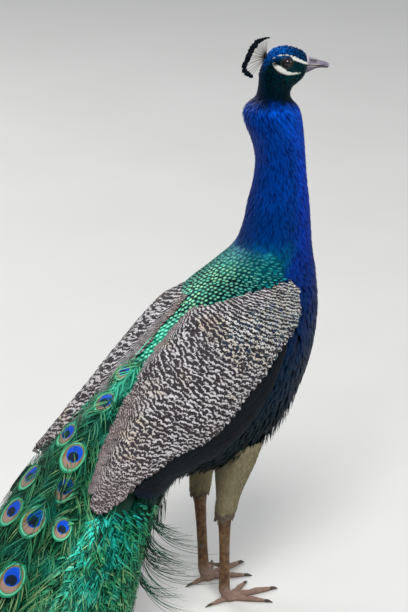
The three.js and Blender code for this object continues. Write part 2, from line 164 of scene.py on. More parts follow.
def body(number, angle, height=0.0):
    """Points of the body, in metres, at section numbers and angles, raised by a height in millimetres."""
    number, angle, height = np.broadcast_arrays(
        np.asarray(number, float), np.asarray(angle, float), np.asarray(height, float)
    )
    row = smooth_rows(SECTION_NUMBERS, SECTIONS, number)
    dorsal_x, dorsal_z, ventral_x, ventral_z, half, turn = np.moveaxis(row, -1, 0)
    mid_x, mid_z = (dorsal_x + ventral_x) / 2, (dorsal_z + ventral_z) / 2
    up_x, up_z = (dorsal_x - ventral_x) / 2, (dorsal_z - ventral_z) / 2
    tall = np.hypot(up_x, up_z)
    power = 2 / FULLNESS
    c, s = np.cos(angle), np.sin(angle)
    c = np.sign(c) * np.abs(c) ** power * (tall + height)
    y = np.sign(s) * np.abs(s) ** power * (half + height)
    x = mid_x + up_x / tall * c - NECK_X
    z = mid_z + up_z / tall * c
    turn = np.radians(turn)
    ct, st = np.cos(turn), np.sin(turn)
    out = np.stack([x * ct - y * st + NECK_X, x * st + y * ct, z], -1) * MM
    out[..., 0] += SHIFT_X
    return out


def from_head(forward, left, up):
    """A point in the head's own axes, in millimetres, as a point of the bird in metres."""
    turn = math.radians(HEAD_TURN)
    x = NECK_X + forward * np.cos(turn) - left * np.sin(turn)
    y = forward * np.sin(turn) + left * np.cos(turn)
    return np.stack(np.broadcast_arrays(x * MM + SHIFT_X, y * MM, up * MM), -1)


def to_head(points):
    """Forward, left and up in the head's own axes, in millimetres."""
    turn = math.radians(HEAD_TURN)
    x = (points[..., 0] - SHIFT_X) / MM - NECK_X
    y = points[..., 1] / MM
    forward = x * math.cos(turn) + y * math.sin(turn)
    return forward, y * math.cos(turn) - x * math.sin(turn), points[..., 2] / MM


def to_line(x, z, line):
    """How far points are from a line of points [x, z, half width], less the half width there."""
    best = np.full(np.shape(x), 1e9)
    for (x0, z0, w0), (x1, z1, w1) in zip(line[:-1], line[1:]):
        dx, dz = x1 - x0, z1 - z0
        t = np.clip(((x - x0) * dx + (z - z0) * dz) / (dx * dx + dz * dz), 0, 1)
        best = np.minimum(best, np.hypot(x - x0 - t * dx, z - z0 - t * dz) - (w0 + t * (w1 - w0)))
    return best


# The bare white skin above and below the eye, in the head's axes: forward, up, half width.
BARE_ABOVE = [(51.5, 822.0, 1.1), (47.5, 823.6, 1.4), (41, 827, 2.0), (34.6, 830.6, 2.5), (29, 833.2, 2.7),
              (24.7, 836.4, 0.9), (19, 838.2, 0.5), (12.6, 838.0, 1.2), (5.5, 837.4, 0.8), (0.5, 835.4, 0.5),
              (-3.4, 832.1, 0.5)]
BARE_BELOW = [(-3.4, 832.1, 0.5), (-2.0, 826.4, 1.7), (1.2, 822.2, 2.8), (6.2, 818.4, 3.8),
              (11.9, 815.0, 4.1), (16.2, 812.4, 3.2), (21.8, 811.0, 2.9), (28.2, 810.2, 1.9),
              (36.1, 810.0, 1.0), (39, 810.6, 0.4)]


def bare_skin(points):
    """1 on the bare white skin of the face, 0 elsewhere."""
    forward, left, up = to_head(points)
    gap = np.minimum(to_line(forward, up, BARE_ABOVE), to_line(forward, up, BARE_BELOW))
    ragged = 0.7 * np.sin(forward * 2.3 + 1.7 * np.sin(up * 1.9)) + 0.5 * np.sin(forward * 0.9 + up * 3.1)
    gap = gap + ragged * np.where(up < 824, 0.6, 0.2)
    return np.where(np.abs(left) > 4.5, np.clip(0.5 - gap / np.where(up < 821, 2.2, 1.2), 0, 1), 0)


# ---- Meshes ----------------------------------------------------------------------------------------

def linked(name, data):
    made = bpy.data.objects.new(name, data)
    bpy.context.scene.collection.objects.link(made)
    return made


def joined(pieces):
    """Joins objects into the first."""
    bpy.ops.object.select_all(action="DESELECT")
    for piece in pieces:
        piece.select_set(True)
    bpy.context.view_layer.objects.active = pieces[0]
    bpy.ops.object.join()
    return pieces[0]


def modified(made, name, *modifiers):
    """Applies modifiers, each given by its kind and settings: a smooth new object in the old one's place."""
    for kind, options in modifiers:
        modifier = made.modifiers.new(kind, kind)
        for key, value in options.items():
            setattr(modifier, key, value)
    mesh = bpy.data.meshes.new_from_object(made.evaluated_get(bpy.context.evaluated_depsgraph_get()))
    bpy.data.objects.remove(made)
    mesh.polygons.foreach_set("use_smooth", np.ones(len(mesh.polygons), bool))
    return linked(name, mesh)


def dress(made, material, slot, *nodes):
    """Gives a piece its material and hides the nodes that it takes the place of; slot is not used."""
    made.data.materials.clear()
    made.data.materials.append(material)
    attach(made, "root")
    if nodes:
        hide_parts(*nodes)


def new_object(name, points, faces):
    """A smooth mesh object from an array of points and one of quads."""
    mesh = bpy.data.meshes.new(name)
    corners = faces.shape[1]
    mesh.vertices.add(len(points))
    mesh.vertices.foreach_set("co", np.ascontiguousarray(points, np.float32).ravel())
    mesh.loops.add(faces.size)
    mesh.loops.foreach_set("vertex_index", np.ascontiguousarray(faces, np.int32).ravel())
    mesh.polygons.add(len(faces))
    mesh.polygons.foreach_set("loop_start", np.arange(0, faces.size, corners, dtype=np.int32))
    mesh.polygons.foreach_set("loop_total", np.full(len(faces), corners, np.int32))
    mesh.polygons.foreach_set("use_smooth", np.ones(len(faces), bool))
    mesh.update()
    return linked(name, mesh)


def grid_faces(rows, columns, closed=False):
    """Quads between rows of points; closed joins the last column to the first."""
    across = columns if closed else columns - 1
    i, j = np.meshgrid(np.arange(rows - 1), np.arange(across), indexing="ij")
    k = (j + 1) % columns
    quads = [i * columns + j, i * columns + k, (i + 1) * columns + k, (i + 1) * columns + j]
    return np.stack(quads, -1).reshape(-1, 4)


def close_ends(made, columns):
    """Closes a tube of rings on its last two points, the middles of its ends."""
    total = len(made.data.vertices) - 2
    shaped = bmesh.new()
    shaped.from_mesh(made.data)
    shaped.verts.ensure_lookup_table()
    for i in range(columns):
        j = (i + 1) % columns
        for corners in ((total, j, i), (total + 1, i + total - columns, j + total - columns)):
            shaped.faces.new([shaped.verts[k] for k in corners]).smooth = True
    shaped.to_mesh(made.data)
    shaped.free()


def put_uv(mesh, name, uv):
    layer = mesh.uv_layers.new(name=name)
    layer.data.foreach_set("uv", np.ascontiguousarray(uv, np.float32).ravel())


def put_value(mesh, name, values):
    kind = "FLOAT" if values.ndim == 1 else "FLOAT_VECTOR"
    attribute = mesh.attributes.new(name, kind, "POINT")
    field = "value" if values.ndim == 1 else "vector"
    attribute.data.foreach_set(field, np.ascontiguousarray(values, np.float32).ravel())


PATCH = 0.003  # a small feather's size in OFBake


class Coat:
    """Feathers of one piece. Each is a grid of points with its own vane map and its own patch of OFBake."""

    def __init__(self, name):
        self.name = name
        self.points, self.faces, self.vane, self.shade = [], [], [], []
        self.extra, self.place, self.own = [], [], []
        self.start = self.large = 0

    def add(self, points, u, v, shade, rows, columns, extra=None, place=None, own=False):
        """points (feathers, rows * columns, 3); u, v of the template; shade (feathers, 3): a random number,
        section / LAST and angle / pi of the root; extra, three more values at each point; own gives each of
        these feathers a square of its own in OFBake."""
        count, size = points.shape[:2]
        quads = grid_faces(rows, columns)
        faces = quads[None] + (self.start + np.arange(count) * size)[:, None, None]
        self.faces.append(faces.reshape(-1, 4))
        self.points.append(points.reshape(-1, 3))
        uv = np.stack([u * 0.5 + 0.5, v], -1)
        self.vane.append(np.broadcast_to(uv, (count, size, 2)).reshape(-1, 2))
        self.shade.append(np.repeat(shade, size, 0))
        extra = np.zeros(3) if extra is None else extra
        self.extra.append(np.broadcast_to(extra, points.shape).reshape(-1, 3))
        if place is None:
            place = (shade[:, 1] * LAST, shade[:, 2] * math.pi)
        self.place.append(np.repeat(np.stack(np.broadcast_arrays(*place), -1), size, 0))
        self.own.append(np.repeat(self.large + np.arange(count) if own else np.full(count, -1), size))
        self.large += count if own else 0
        self.start += count * size

    def patches(self):
        """OFBake: small feathers at their root's place on the body's unwrap, large ones in a grid above."""
        place, vane, own = np.concatenate(self.place), np.concatenate(self.vane), np.concatenate(self.own)
        large = own >= 0
        floor = 0.0 if large.all() else 0.6 if large.any() else 1.0
        low, high = place.min(0), place.max(0)
        room = np.array([0.975, 0.975 * floor])
        patch = 0.01 + room * (place - low) / np.maximum(high - low, 1e-6) + PATCH * vane
        if large.any():
            across = math.ceil(math.sqrt(self.large / (1 - floor))) + 1
            cell = np.stack([own % across, own // across], -1) / across + np.array([0, floor])
            patch[large] = (cell + (0.06 + 0.88 * vane) / across)[large]
        return patch

    def build(self, material, slot, *nodes):
        points = np.concatenate(self.points)
        points[:, 2] = np.maximum(points[:, 2], 0.0006)  # above the floor
        faces = np.concatenate(self.faces)
        made = new_object(self.name, points, faces)
        loops = faces.ravel()
        put_uv(made.data, "OFBake", self.patches()[loops])
        put_uv(made.data, "vane", np.concatenate(self.vane)[loops])
        put_value(made.data, "shade", np.concatenate(self.shade))
        put_value(made.data, "extra", np.concatenate(self.extra))
        dress(made, material, slot, *nodes)


def template(rows, columns, outline):
    """u across from -1 to 1, v along from 0 to 1, and the outline's half width at each point."""
    v, u = np.meshgrid(np.linspace(0, 1, rows), np.linspace(-1, 1, columns), indexing="ij")
    u, v = u.ravel(), v.ravel()
    return u, v, outline(v)


def round_tip(v):
    end = 1 - np.clip((v - 0.62) / 0.38, 0, 1) ** 2.4
    return np.clip(0.45 + 1.1 * v, 0, 1) * np.sqrt(np.clip(end, 0.0015, 1))


def pointed(v):
    return np.clip(0.5 + 1.3 * v, 0, 1) * np.clip((1.02 - v) / 0.55, 0, 1) ** 0.8


def long_vane(v):
    end = 1 - np.clip((v - 0.8) / 0.2, 0, 1) ** 2
    return np.clip(0.35 + 2.5 * v, 0, 1) * np.sqrt(np.clip(end, 0.001, 1))


def metric(number, angle, surface=body):
    """Metres per section and per radian at places on a surface."""
    e = 0.02
    along = np.linalg.norm(surface(number + e, angle) - surface(number - e, angle), axis=-1) / (2 * e)
    around = np.linalg.norm(surface(number, angle + e) - surface(number, angle - e), axis=-1) / (2 * e)
    return np.maximum(along, 1e-4), np.maximum(around, 1e-4)


def lay(number, angle, length, width, outline, height, rows=5, columns=3, heading=0.0, camber=0.0,
        surface=body):
    """Feathers that follow a surface. height(v, number, angle) gives millimetres above it at each point."""
    u, v, half = template(rows, columns, outline)
    along, around = metric(number, angle, surface)
    length, width, heading = (
        np.broadcast_to(value, number.shape)[:, None] for value in (length, width, heading)
    )
    y = length * v
    x = 0.5 * width * half * u
    forward = y * np.cos(heading) - x * np.sin(heading)
    sideways = y * np.sin(heading) + x * np.cos(heading)
    n = number[:, None] + forward / along[:, None]
    a = angle[:, None] + sideways / around[:, None]
    h = height(v, n, a) + camber * (1 - u * u) * np.sin(np.pi * np.clip(v, 0, 1))
    return surface(n, a, h), u, v


def roots(first, last, pitch, spacing, low=-math.pi, high=math.pi, surface=body, thin=True, jitter=0.25):
    """Staggered rows of feather roots between two section numbers and two angles, pitch and spacing in
    metres. low and high may be functions of the section number. thin leaves out roots where the sections
    lie closer together."""
    numbers, angles = [], []
    number, row = first, 0
    while number < last:
        lo = low(number) if callable(low) else low
        hi = high(number) if callable(high) else high
        fine = np.linspace(lo, hi, 73)
        along, around = metric(np.full(len(fine), number), fine, surface)
        length = np.concatenate([[0], np.cumsum((around[1:] + around[:-1]) / 2 * np.diff(fine))])
        count = max(1, int(length[-1] / spacing))
        at = (np.arange(count) + (0.25 if row % 2 else 0.75)) / count * length[-1]
        angle = np.interp(at, length, fine)
        keep = np.full(count, True)
        if thin:
            keep = rng.random(count) < np.interp(angle, fine, along) / along.max()
        wobble = (rng.random(count) - 0.5) * jitter
        numbers.append((number + wobble * pitch / along.max())[keep])
        aside = (rng.random(count) - 0.5) * jitter * spacing / np.interp(angle, fine, around)
        angles.append((angle + aside)[keep])
        number += pitch / along.max()
        row += 1
    return np.concatenate(numbers), np.concatenate(angles)


# ---- Materials -------------------------------------------------------------------------------------

TURN = 6.2832  # one wave, in radians


class Value:
    """A socket that sums and products can use; each step becomes a Math node."""

    def __init__(self, shader, socket):
        self.shader, self.socket = shader, socket

    def __add__(self, other):
        return self.shader.math("ADD", self, other)

    def __sub__(self, other):
        return self.shader.math("SUBTRACT", self, other)

    def __rsub__(self, other):
        return self.shader.math("SUBTRACT", other, self)

    def __mul__(self, other):
        return self.shader.math("MULTIPLY", self, other)

    def __truediv__(self, other):
        return self.shader.math("DIVIDE", self, other)

    def __pow__(self, power):
        return self.shader.math("POWER", self, power)

    def __abs__(self):
        return self.shader.math("ABSOLUTE", self)


class Shader:
    """A material's nodes. Calls return Values, and take numbers, tuples or Values."""

    def __init__(self, name):
        self.material = bpy.data.materials.new(name)
        self.material.use_nodes = True
        self.tree = self.material.node_tree
        self.tree.nodes.clear()
        self.out = self.tree.nodes.new("ShaderNodeOutputMaterial")

    def link(self, socket, value):
        if isinstance(value, Value):
            self.tree.links.new(value.socket, socket)
            return
        if hasattr(socket.default_value, "__len__"):
            size = len(socket.default_value)
            value = value if hasattr(value, "__len__") else (value,) * size
            value = (*value, 1) if len(value) < size else value
        socket.default_value = value

    def node(self, kind, inputs=(), output=0, **options):
        """A new node's output. inputs gives its sockets by number or name, options its other settings."""
        made = self.tree.nodes.new("ShaderNode" + kind)
        for key, value in options.items():
            setattr(made, key, value)
        for key, value in dict(inputs).items():
            self.link(made.inputs[key], value)
        return Value(self, made.outputs[output])

    def parts(self, vector):
        split = self.node("SeparateXYZ", {0: vector})
        return [Value(self, socket) for socket in split.socket.node.outputs[:3]]

    def split(self, attribute):
        """The three numbers of an attribute."""
        return self.parts(self.node("Attribute", output="Vector", attribute_name=attribute))

    def vane(self):
        """u from -1 to 1 across the feather and v from 0 to 1 along it."""
        u, v, _ = self.parts(self.node("UVMap", uv_map="vane"))
        return u * 2 - 1, v

    def value(self, name):
        return self.node("Attribute", output="Fac", attribute_name=name)

    def place(self):
        return self.node("TexCoord", output="Object")

    def math(self, operation, *values):
        return self.node("Math", dict(enumerate(values)), operation=operation)

    def limit(self, value):
        """Keeps the last step's result between 0 and 1."""
        value.socket.node.use_clamp = True
        return value

    def above(self, value, start, slope):
        """0 up to start, then rises to 1."""
        return self.limit((value - start) * slope)

    def below(self, value, end, slope):
        """1 at first, falls to 0 at end."""
        return self.limit((end - value) * slope)

    def mix(self, factor, a, b, blend="MIX"):
        return self.node("Mix", {0: factor, 6: a, 7: b}, 2, data_type="RGBA", blend_type=blend)

    def times(self, colour, factors):
        """A colour with each of its parts multiplied."""
        return self.mix(1.0, colour, factors, "MULTIPLY")

    def ramp(self, factor, *stops):
        """Colours at positions: (position, (r, g, b)) or (position, value)."""
        made = self.node("ValToRGB", {0: factor})
        band = made.socket.node.color_ramp
        band.interpolation = "LINEAR"
        while len(band.elements) < len(stops):
            band.elements.new(0.5)
        for element, (position, colour) in zip(band.elements, stops):
            element.position = position
            element.color = (*colour, 1) if hasattr(colour, "__len__") else (colour, colour, colour, 1)
        return made

    def noise(self, vector, scale, detail=2.0, rough=0.5):
        return self.node("TexNoise", {"Vector": vector, "Scale": scale, "Detail": detail, "Roughness": rough})

    def stretch(self, vector, x, y, z):
        return self.node("VectorMath", {0: vector, 1: (x, y, z)}, operation="MULTIPLY")

    def bump(self, height, strength=0.3, distance=0.001):
        return self.node("Bump", {"Height": height, "Strength": strength, "Distance": distance})

    def finish(self, **inputs):
        names = {"Specular IOR Level": 0.25}
        names.update({key.replace("_", " "): value for key, value in inputs.items()})
        self.tree.links.new(self.node("BsdfPrincipled", names).socket, self.out.inputs[0])
        return self.material


def barbs(sh, count, slant):
    """Fine barbs that leave the shaft at a slant: a wave, 0 in the grooves and 1 on the barbs; how far
    along the feather a place is, and how far from its shaft."""
    u, v = sh.vane()
    side = abs(u)
    phase = side * -slant + v * count
    wave = sh.math("SINE", phase * TURN)
    return wave * 0.5 + 0.5, v, side


def srgb(red, green, blue):
    """A colour from its 0 to 255 screen values."""
    screen = (red / 255, green / 255, blue / 255)
    return tuple(c / 12.92 if c <= 10 / 255 else ((c + 0.055) / 1.055) ** 2.4 for c in screen)


# the plumage's ground colour along the back and along the belly: section number, then the colour
UPPER_COLOURS = [
    (0, 0, 46, 74), (2, 0, 64, 116), (4.2, 4, 98, 196), (5.5, 2, 84, 170), (6.4, 2, 34, 58), (8.4, 2, 14, 24),
    (8.8, 2, 20, 44), (9.4, 0, 60, 150), (13, 0, 55, 142), (16, 0, 49, 112), (16.8, 0, 74, 102),
    (17.8, 0, 120, 120), (25, 6, 84, 58), (36, 10, 70, 44),
]
LOWER_COLOURS = [
    (0, 0, 40, 44), (3, 0, 56, 56), (4.6, 0, 32, 34), (6.5, 0, 26, 28), (8.4, 0, 12, 16), (9.3, 0, 80, 196),
    (13, 0, 64, 186), (16.5, 0, 47, 142), (18.2, 0, 38, 94), (19.8, 0, 32, 60), (21.5, 2, 26, 36),
    (23.5, 3, 28, 26), (26, 4, 60, 44), (36, 8, 52, 34),
]
# where they meet: section number, angle / pi
COLOUR_EDGE = [
    (0, 0.27), (3.6, 0.25), (4.8, 0.2), (6, 0.12), (9, 0.34), (12, 0.5), (16.5, 0.44), (18.5, 0.22),
    (24, 0.3), (36, 0.75),
]


def plumage(sh, number, angle):
    """The plumage's ground colour from section / LAST and angle / pi."""
    upper, lower = (
        sh.ramp(number, *((section / LAST, srgb(*colour)) for section, *colour in table))
        for table in (UPPER_COLOURS, LOWER_COLOURS)
    )
    edge = sh.ramp(number, *((section / LAST, at) for section, at in COLOUR_EDGE))
    return sh.mix(sh.above(abs(angle), edge, 10), upper, lower)


def plumage_skin():
    sh = Shader("plumage_skin")
    _, number, angle = sh.split("shade")
    place = sh.place()
    ground = plumage(sh, number, angle)
    # the skin seen between the feathers: the plumage's colour darkened, painted shade under the feathers
    dark = sh.mix(sh.noise(place, 300, 3), sh.mix(0.72, ground, (0, 0, 0)), sh.mix(0.35, ground, (0, 0, 0)))
    # bare white skin, finely wrinkled with painted shade in the wrinkles' grooves, and greyer towards its
    # edge
    crease = sh.noise(sh.stretch(place, 1, 1, 1.6), 900, 4, 0.6)
    white = sh.mix(crease, srgb(150, 152, 146), srgb(236, 236, 228))
    edge = (1 - sh.value("bare")) * sh.limit(sh.noise(place, 260, 2) * 3 - 0.6)
    white = sh.mix(edge, white, srgb(120, 116, 112))
    colour = sh.mix(sh.limit(sh.value("bare") * 1.6), dark, white)
    # the lids: near black, with a paler grey margin below the eye
    colour = sh.mix(sh.value("lid"), colour, sh.mix(crease, srgb(5, 8, 9), srgb(24, 28, 28)))
    # scutes of the legs: rows of small plates with pale edges
    leg = sh.value("leg")
    plates = {"Vector": sh.stretch(place, 1, 1, 0.62), "Scale": 420}
    plate = sh.limit(sh.node("TexVoronoi", plates, feature="DISTANCE_TO_EDGE") * 4)
    blotch = sh.noise(place, 60, 3)
    scute = sh.mix(sh.above(sh.noise(place, 150, 4), 0.35, 3), srgb(78, 48, 28), srgb(132, 100, 64))
    scute = sh.mix(sh.above(blotch, 0.5, 4), scute, srgb(112, 104, 76))
    scute = sh.mix(sh.value("toe"), scute, sh.mix(blotch, srgb(140, 104, 88), srgb(168, 146, 132)))
    scute = sh.mix(plate, sh.mix(0.6, scute, srgb(70, 44, 34)), scute)
    colour = sh.mix(leg, colour, scute)
    height = crease * 0.5 + plate * leg
    return sh.finish(Base_Color=colour, Roughness=0.55, Normal=sh.bump(height, 0.5, 0.0006))


def silk_feather(name, tint, metal=0.3, streak=0.5, patches=26, gloss=0.4, speck=0.0):
    """Iridescent feathers coloured by their place on the body; their gloss has a colour of its own."""
    sh = Shader(name)
    wave, v, side = barbs(sh, 9, 1.6)
    seed, number, angle = sh.split("shade")
    ground = plumage(sh, number, angle)
    place = sh.place()
    # brighter patches, a painted sheen, and darker streaks
    patch = sh.above(sh.noise(place, patches, 3), 0.46, 3.2)
    deep = sh.below(sh.noise(sh.stretch(place, 1, 1, 0.3), 38, 3), 0.44, 3.0)
    ground = sh.mix(patch * 0.55, ground, sh.times(ground, (1.5, 1.5, 1.35)))
    ground = sh.mix(deep * 0.6, ground, sh.times(ground, (0.3, 0.42, 0.5)))
    # painted shade at the root and between barbs, and some feathers darker in tone
    shadow = sh.below(v, 0.6, 1.5) + (1 - wave) * streak * 0.5
    odd = sh.math("GREATER_THAN", seed, 0.75) * streak
    colour = sh.mix(sh.limit(shadow + odd), ground, sh.times(ground, (0.1, 0.2, 0.28)))
    # dark specks, painted shade in small gaps between the feathers, and light specks, painted glints
    if speck:
        gap_shade = sh.above(sh.noise(place, 330, 2), 0.55, 12)
        colour = sh.mix(gap_shade * speck, colour, sh.times(ground, (0.06, 0.14, 0.2)))
        shine = sh.below(sh.noise(place, 300, 2), 0.42, 12)
        colour = sh.mix(shine * speck, colour, sh.times(ground, (2.0, 1.6, 1.35)))
    return sh.finish(Base_Color=colour, Metallic=metal, Roughness=0.42, Specular_IOR_Level=gloss,
                     Specular_Tint=(*tint, 1), Normal=sh.bump(wave + side * -1.5, 0.35, 0.0004))


def scale_feather(name):
    """Mantle scales: gold-green in the middle, teal around it, black at the rim; bluer at the sides."""
    sh = Shader(name)
    wave, v, side = barbs(sh, 8, 1.5)
    seed, number, angle = sh.split("shade")
    across = sh.limit(abs(angle) * 2.6)
    # distance from the middle of the showing part of the scale
    from_tip = (v - 0.74) * (across * 1.8 + 3.9)
    radius = (side ** 2 + from_tip ** 2) ** 0.5
    radius = sh.noise(sh.place(), 500, 2) * 0.24 + radius - 0.12
    back = sh.above(number, 19.6 / LAST, 40)
    middle = sh.mix(across, srgb(190, 238, 168), srgb(30, 156, 162))
    middle = sh.mix(seed * 0.8, middle, srgb(50, 190, 158))
    middle = sh.mix(back, middle, srgb(150, 240, 200))
    body = sh.mix(across, srgb(8, 142, 128), srgb(0, 100, 138))
    body = sh.mix(back, body, srgb(30, 204, 164))
    early = sh.below(number, 17.9 / LAST, 30)
    body = sh.mix(early, body, plumage(sh, number, angle))
    middle = sh.mix(early, middle, sh.mix(0.22, plumage(sh, number, angle), srgb(30, 150, 170)))
    near = sh.below(radius, 0.62, 2.6)
    colour = sh.mix(near, body, middle)
    rim = sh.above(radius, 0.56, 7)
    rim = rim * (sh.math("MAXIMUM", early, back * 0.6) * -0.75 + 1.0)
    colour = sh.mix(rim, colour, srgb(1, 18, 26))
    # painted shade between the barbs
    colour = sh.mix((1 - wave) * 0.35, colour, srgb(0, 30, 30))
    return sh.finish(Base_Color=colour, Metallic=0.35, Roughness=0.36, Specular_IOR_Level=0.5,
                     Specular_Tint=(*srgb(90, 230, 200), 1), Normal=sh.bump(wave, 0.4, 0.0004))


def barred_feather(name):
    """Cream bars on brown-black. extra: phase of the bars, how fine and dull they are, and painted teal
    sheen.
    """
    sh = Shader(name)
    wave, v, side = barbs(sh, 16, 3)
    seed, _, _ = sh.split("shade")
    phase, fine, gloss = sh.split("extra")
    place = sh.place()
    warp = (sh.noise(place, 85, 2) - 0.5) * 1.2
    fray = gloss * 0.9 + fine * 1.6 + 0.75
    fray = (sh.noise(place, 420, 2) - 0.5) * fray
    at = phase + warp + fray
    bar = sh.math("SINE", at * TURN)
    width = sh.noise(place, 90, 1) * 1.5 - 0.42
    cream = sh.limit((bar - width) * 2.6)
    tint = sh.noise(place, 20, 2)
    pale = sh.mix(sh.above(tint, 0.55, 5), srgb(206, 202, 204), srgb(200, 180, 154))
    pale = sh.mix(seed * 0.35, pale, srgb(150, 142, 142))
    black = sh.mix(sh.noise(place, 140, 2), srgb(20, 17, 24), srgb(58, 50, 54))
    pale = sh.mix(fine * 0.8, pale, srgb(166, 150, 146))
    black = sh.mix(fine * 0.8, black, srgb(74, 62, 62))
    # where gloss is high the black is darker and the cream paler, with teal to blue patches of painted sheen
    black = sh.mix(gloss, black, srgb(12, 14, 20))
    pale = sh.mix(gloss * 0.6, pale, srgb(222, 220, 208))
    teal_sheen = gloss * sh.above(sh.noise(place, 130, 1), 0.5, 9)
    black = sh.mix(teal_sheen, black, sh.mix(seed, srgb(0, 62, 74), srgb(12, 26, 80)))
    colour = sh.mix(cream, black, pale)
    # a frayed dark line where a feather ends over the next
    tip = sh.above(v, 0.93, 14)
    colour = sh.mix(tip * 0.45, colour, srgb(40, 34, 36))
    rim = sh.above(side, 0.8, 4)
    colour = sh.mix(rim * 0.45, colour, srgb(44, 38, 40))
    # painted shade between the barbs
    colour = sh.mix((1 - wave) * 0.14, colour, (0, 0, 0))
    return sh.finish(Base_Color=colour, Roughness=0.62, Normal=sh.bump(wave + cream, 0.25, 0.0004))


def flight_feather(name, low, high, gloss):
    """Long smooth feathers with a shaft and fine slanting barbs."""
    sh = Shader(name)
    wave, _, side = barbs(sh, 46, 9)
    seed, _, _ = sh.split("shade")
    ground = sh.mix(sh.noise(sh.place(), 18, 3), low, high)
    ground = sh.mix(seed * 0.4, ground, low)
    shaft = sh.below(side, 0.06, 30)
    colour = sh.mix(shaft, ground, sh.mix(0.5, low, srgb(40, 30, 30)))
    # edges in the gloss colour: a painted sheen
    edge = sh.above(side, 0.75, 4)
    colour = sh.mix(edge * 0.5, colour, gloss)
    height = wave * 0.4 + shaft * 2
    return sh.finish(Base_Color=colour, Metallic=0.1, Roughness=0.55, Specular_IOR_Level=0.1,
                     Normal=sh.bump(height, 0.4, 0.0005))


def plume_feather(name):
    """The train: loose barbs, and the eyes. extra: across and along from the eye's middle in its own units,
    and 1 on the eye's vane, 0 on loose barbs."""
    sh = Shader(name)
    _, v = sh.vane()
    seed, number, angle = sh.split("shade")
    x, y, vane = sh.split("extra")
    place = sh.place()

    def inside(centre, wide, long, soft=9.0):
        """1 within an ellipse about (0, centre), 0 outside it; eye units."""
        along = (y - centre) / long
        radius = ((x / wide) ** 2 + along ** 2) ** 0.5
        return sh.limit((1 - radius) * soft + 0.5)

    ray = sh.math("SINE", sh.math("ARCTAN2", x, y + 2.2) * 110) * 0.5 + 0.5
    # loose barbs: dark to emerald to sage, darker where they leave the shaft
    barb = sh.ramp(seed, (0, srgb(1, 15, 10)), (0.3, srgb(2, 46, 31)), (0.55, srgb(8, 98, 66)),
                   (0.75, srgb(62, 136, 92)), (1.0, srgb(140, 166, 112)))
    # brighter teal patches: painted sheen
    sheen = sh.above(sh.noise(place, 20, 2), 0.5, 5)
    barb = sh.mix(sheen * 0.6, barb, sh.mix(seed, srgb(0, 78, 70), srgb(30, 160, 136)))
    barb = sh.mix(sh.below(v, 0.35, 2), barb, srgb(3, 34, 24))
    # bluer curls in clusters low on the front of the flanks
    low = sh.above(abs(angle), 0.22, 10)
    front = sh.below(number, 29 / LAST, 16)
    deep = sh.ramp(seed, (0, srgb(0, 20, 15)), (0.3, srgb(2, 58, 42)), (0.55, srgb(6, 104, 74)),
                   (0.8, srgb(34, 138, 92)), (1.0, srgb(104, 160, 104)))
    curl = sh.ramp(seed, (0, srgb(0, 56, 52)), (0.3, srgb(0, 112, 98)), (0.6, srgb(4, 156, 138)),
                   (1.0, srgb(22, 200, 186)))
    dark = sh.above(sh.noise(place, 480, 2), 0.52, 7)
    curl = sh.mix(dark, curl, srgb(0, 40, 44))
    cluster = sh.above(sh.noise(place, 36, 1), 0.4, 8)
    off_row = abs(abs(angle) - 0.38)
    row = sh.below(off_row, 0.12, 20)
    fluff = sh.mix(cluster * row, deep, curl)
    # painted sheen: brighter patches beside the folded wings
    beside = sh.below(number, 25.7 / LAST, 60)
    beside = beside * sh.above(sh.noise(place, 34, 1), 0.42, 6)
    barb = sh.mix(beside * 0.75, barb, sh.mix(seed, srgb(0, 92, 70), srgb(80, 226, 188)))
    barb = sh.mix(low * front * 0.9, barb, fluff)
    # the eye, from the outside in
    eye = sh.mix(ray, srgb(10, 112, 74), srgb(30, 150, 104))
    eye = sh.mix(inside(0.33, 1.46, 1.74, 14), eye, srgb(112, 208, 168))
    eye = sh.mix(inside(0.3, 1.33, 1.58, 16), eye, srgb(70, 140, 96))
    eye = sh.mix(inside(0.27, 1.26, 1.49, 18), eye, srgb(142, 104, 62))
    pink = inside(0.9, 0.98, 0.82, 5)
    eye = sh.mix(pink, eye, sh.mix(ray, srgb(150, 116, 104), srgb(186, 154, 140)))
    eye = sh.mix(inside(0, 1.05, 1.06, 16), eye, srgb(0, 120, 170))
    disc = inside(0, 0.98, 1.0, 16)
    eye = sh.mix(disc, eye, sh.mix(sh.noise(place, 400, 2), srgb(0, 48, 190), srgb(8, 92, 235)))
    heart = inside(0.4, 0.7, 0.6, 5)
    notch = inside(1.1, 0.28, 0.3, 6)
    heart = heart * (1 - notch * 0.7)
    eye = sh.mix(heart, eye, srgb(16, 12, 50))
    eye = sh.mix(ray * 0.28, eye, sh.mix(0.7, eye, (0, 0.01, 0.01)))
    colour = sh.mix(vane, barb, eye)
    height = ray * vane
    return sh.finish(Base_Color=colour, Metallic=0.25, Roughness=0.42, Specular_IOR_Level=0.35,
                     Specular_Tint=(*srgb(150, 235, 190), 1), Normal=sh.bump(height, 0.5, 0.0005))


def thigh_feather(name, low, high):
    """Plain soft feathers that vary between two colours, darker at the hock."""
    sh = Shader(name)
    wave, v, _ = barbs(sh, 7, 1.4)
    seed, number, _ = sh.split("shade")
    ground = sh.mix(seed * 0.5 + sh.noise(sh.place(), 40, 3) * 0.5, low, high)
    hock = number * LAST + (sh.noise(sh.place(), 110, 2) - 0.5) * 0.5
    ground = sh.mix(sh.above(hock, 0.78, 6), ground, srgb(92, 80, 70))
    # painted shade between the barbs
    ground = sh.mix((1 - wave) * 0.22, ground, sh.mix(0.5, low, (0, 0, 0)))
    # painted shade at the root, under the feathers that lie over it
    ground = sh.mix(sh.below(v, 0.4, 1.2), ground, sh.mix(0.3, low, (0, 0, 0)))
    return sh.finish(Base_Color=ground, Roughness=0.8, Normal=sh.bump(wave, 0.3, 0.0004))


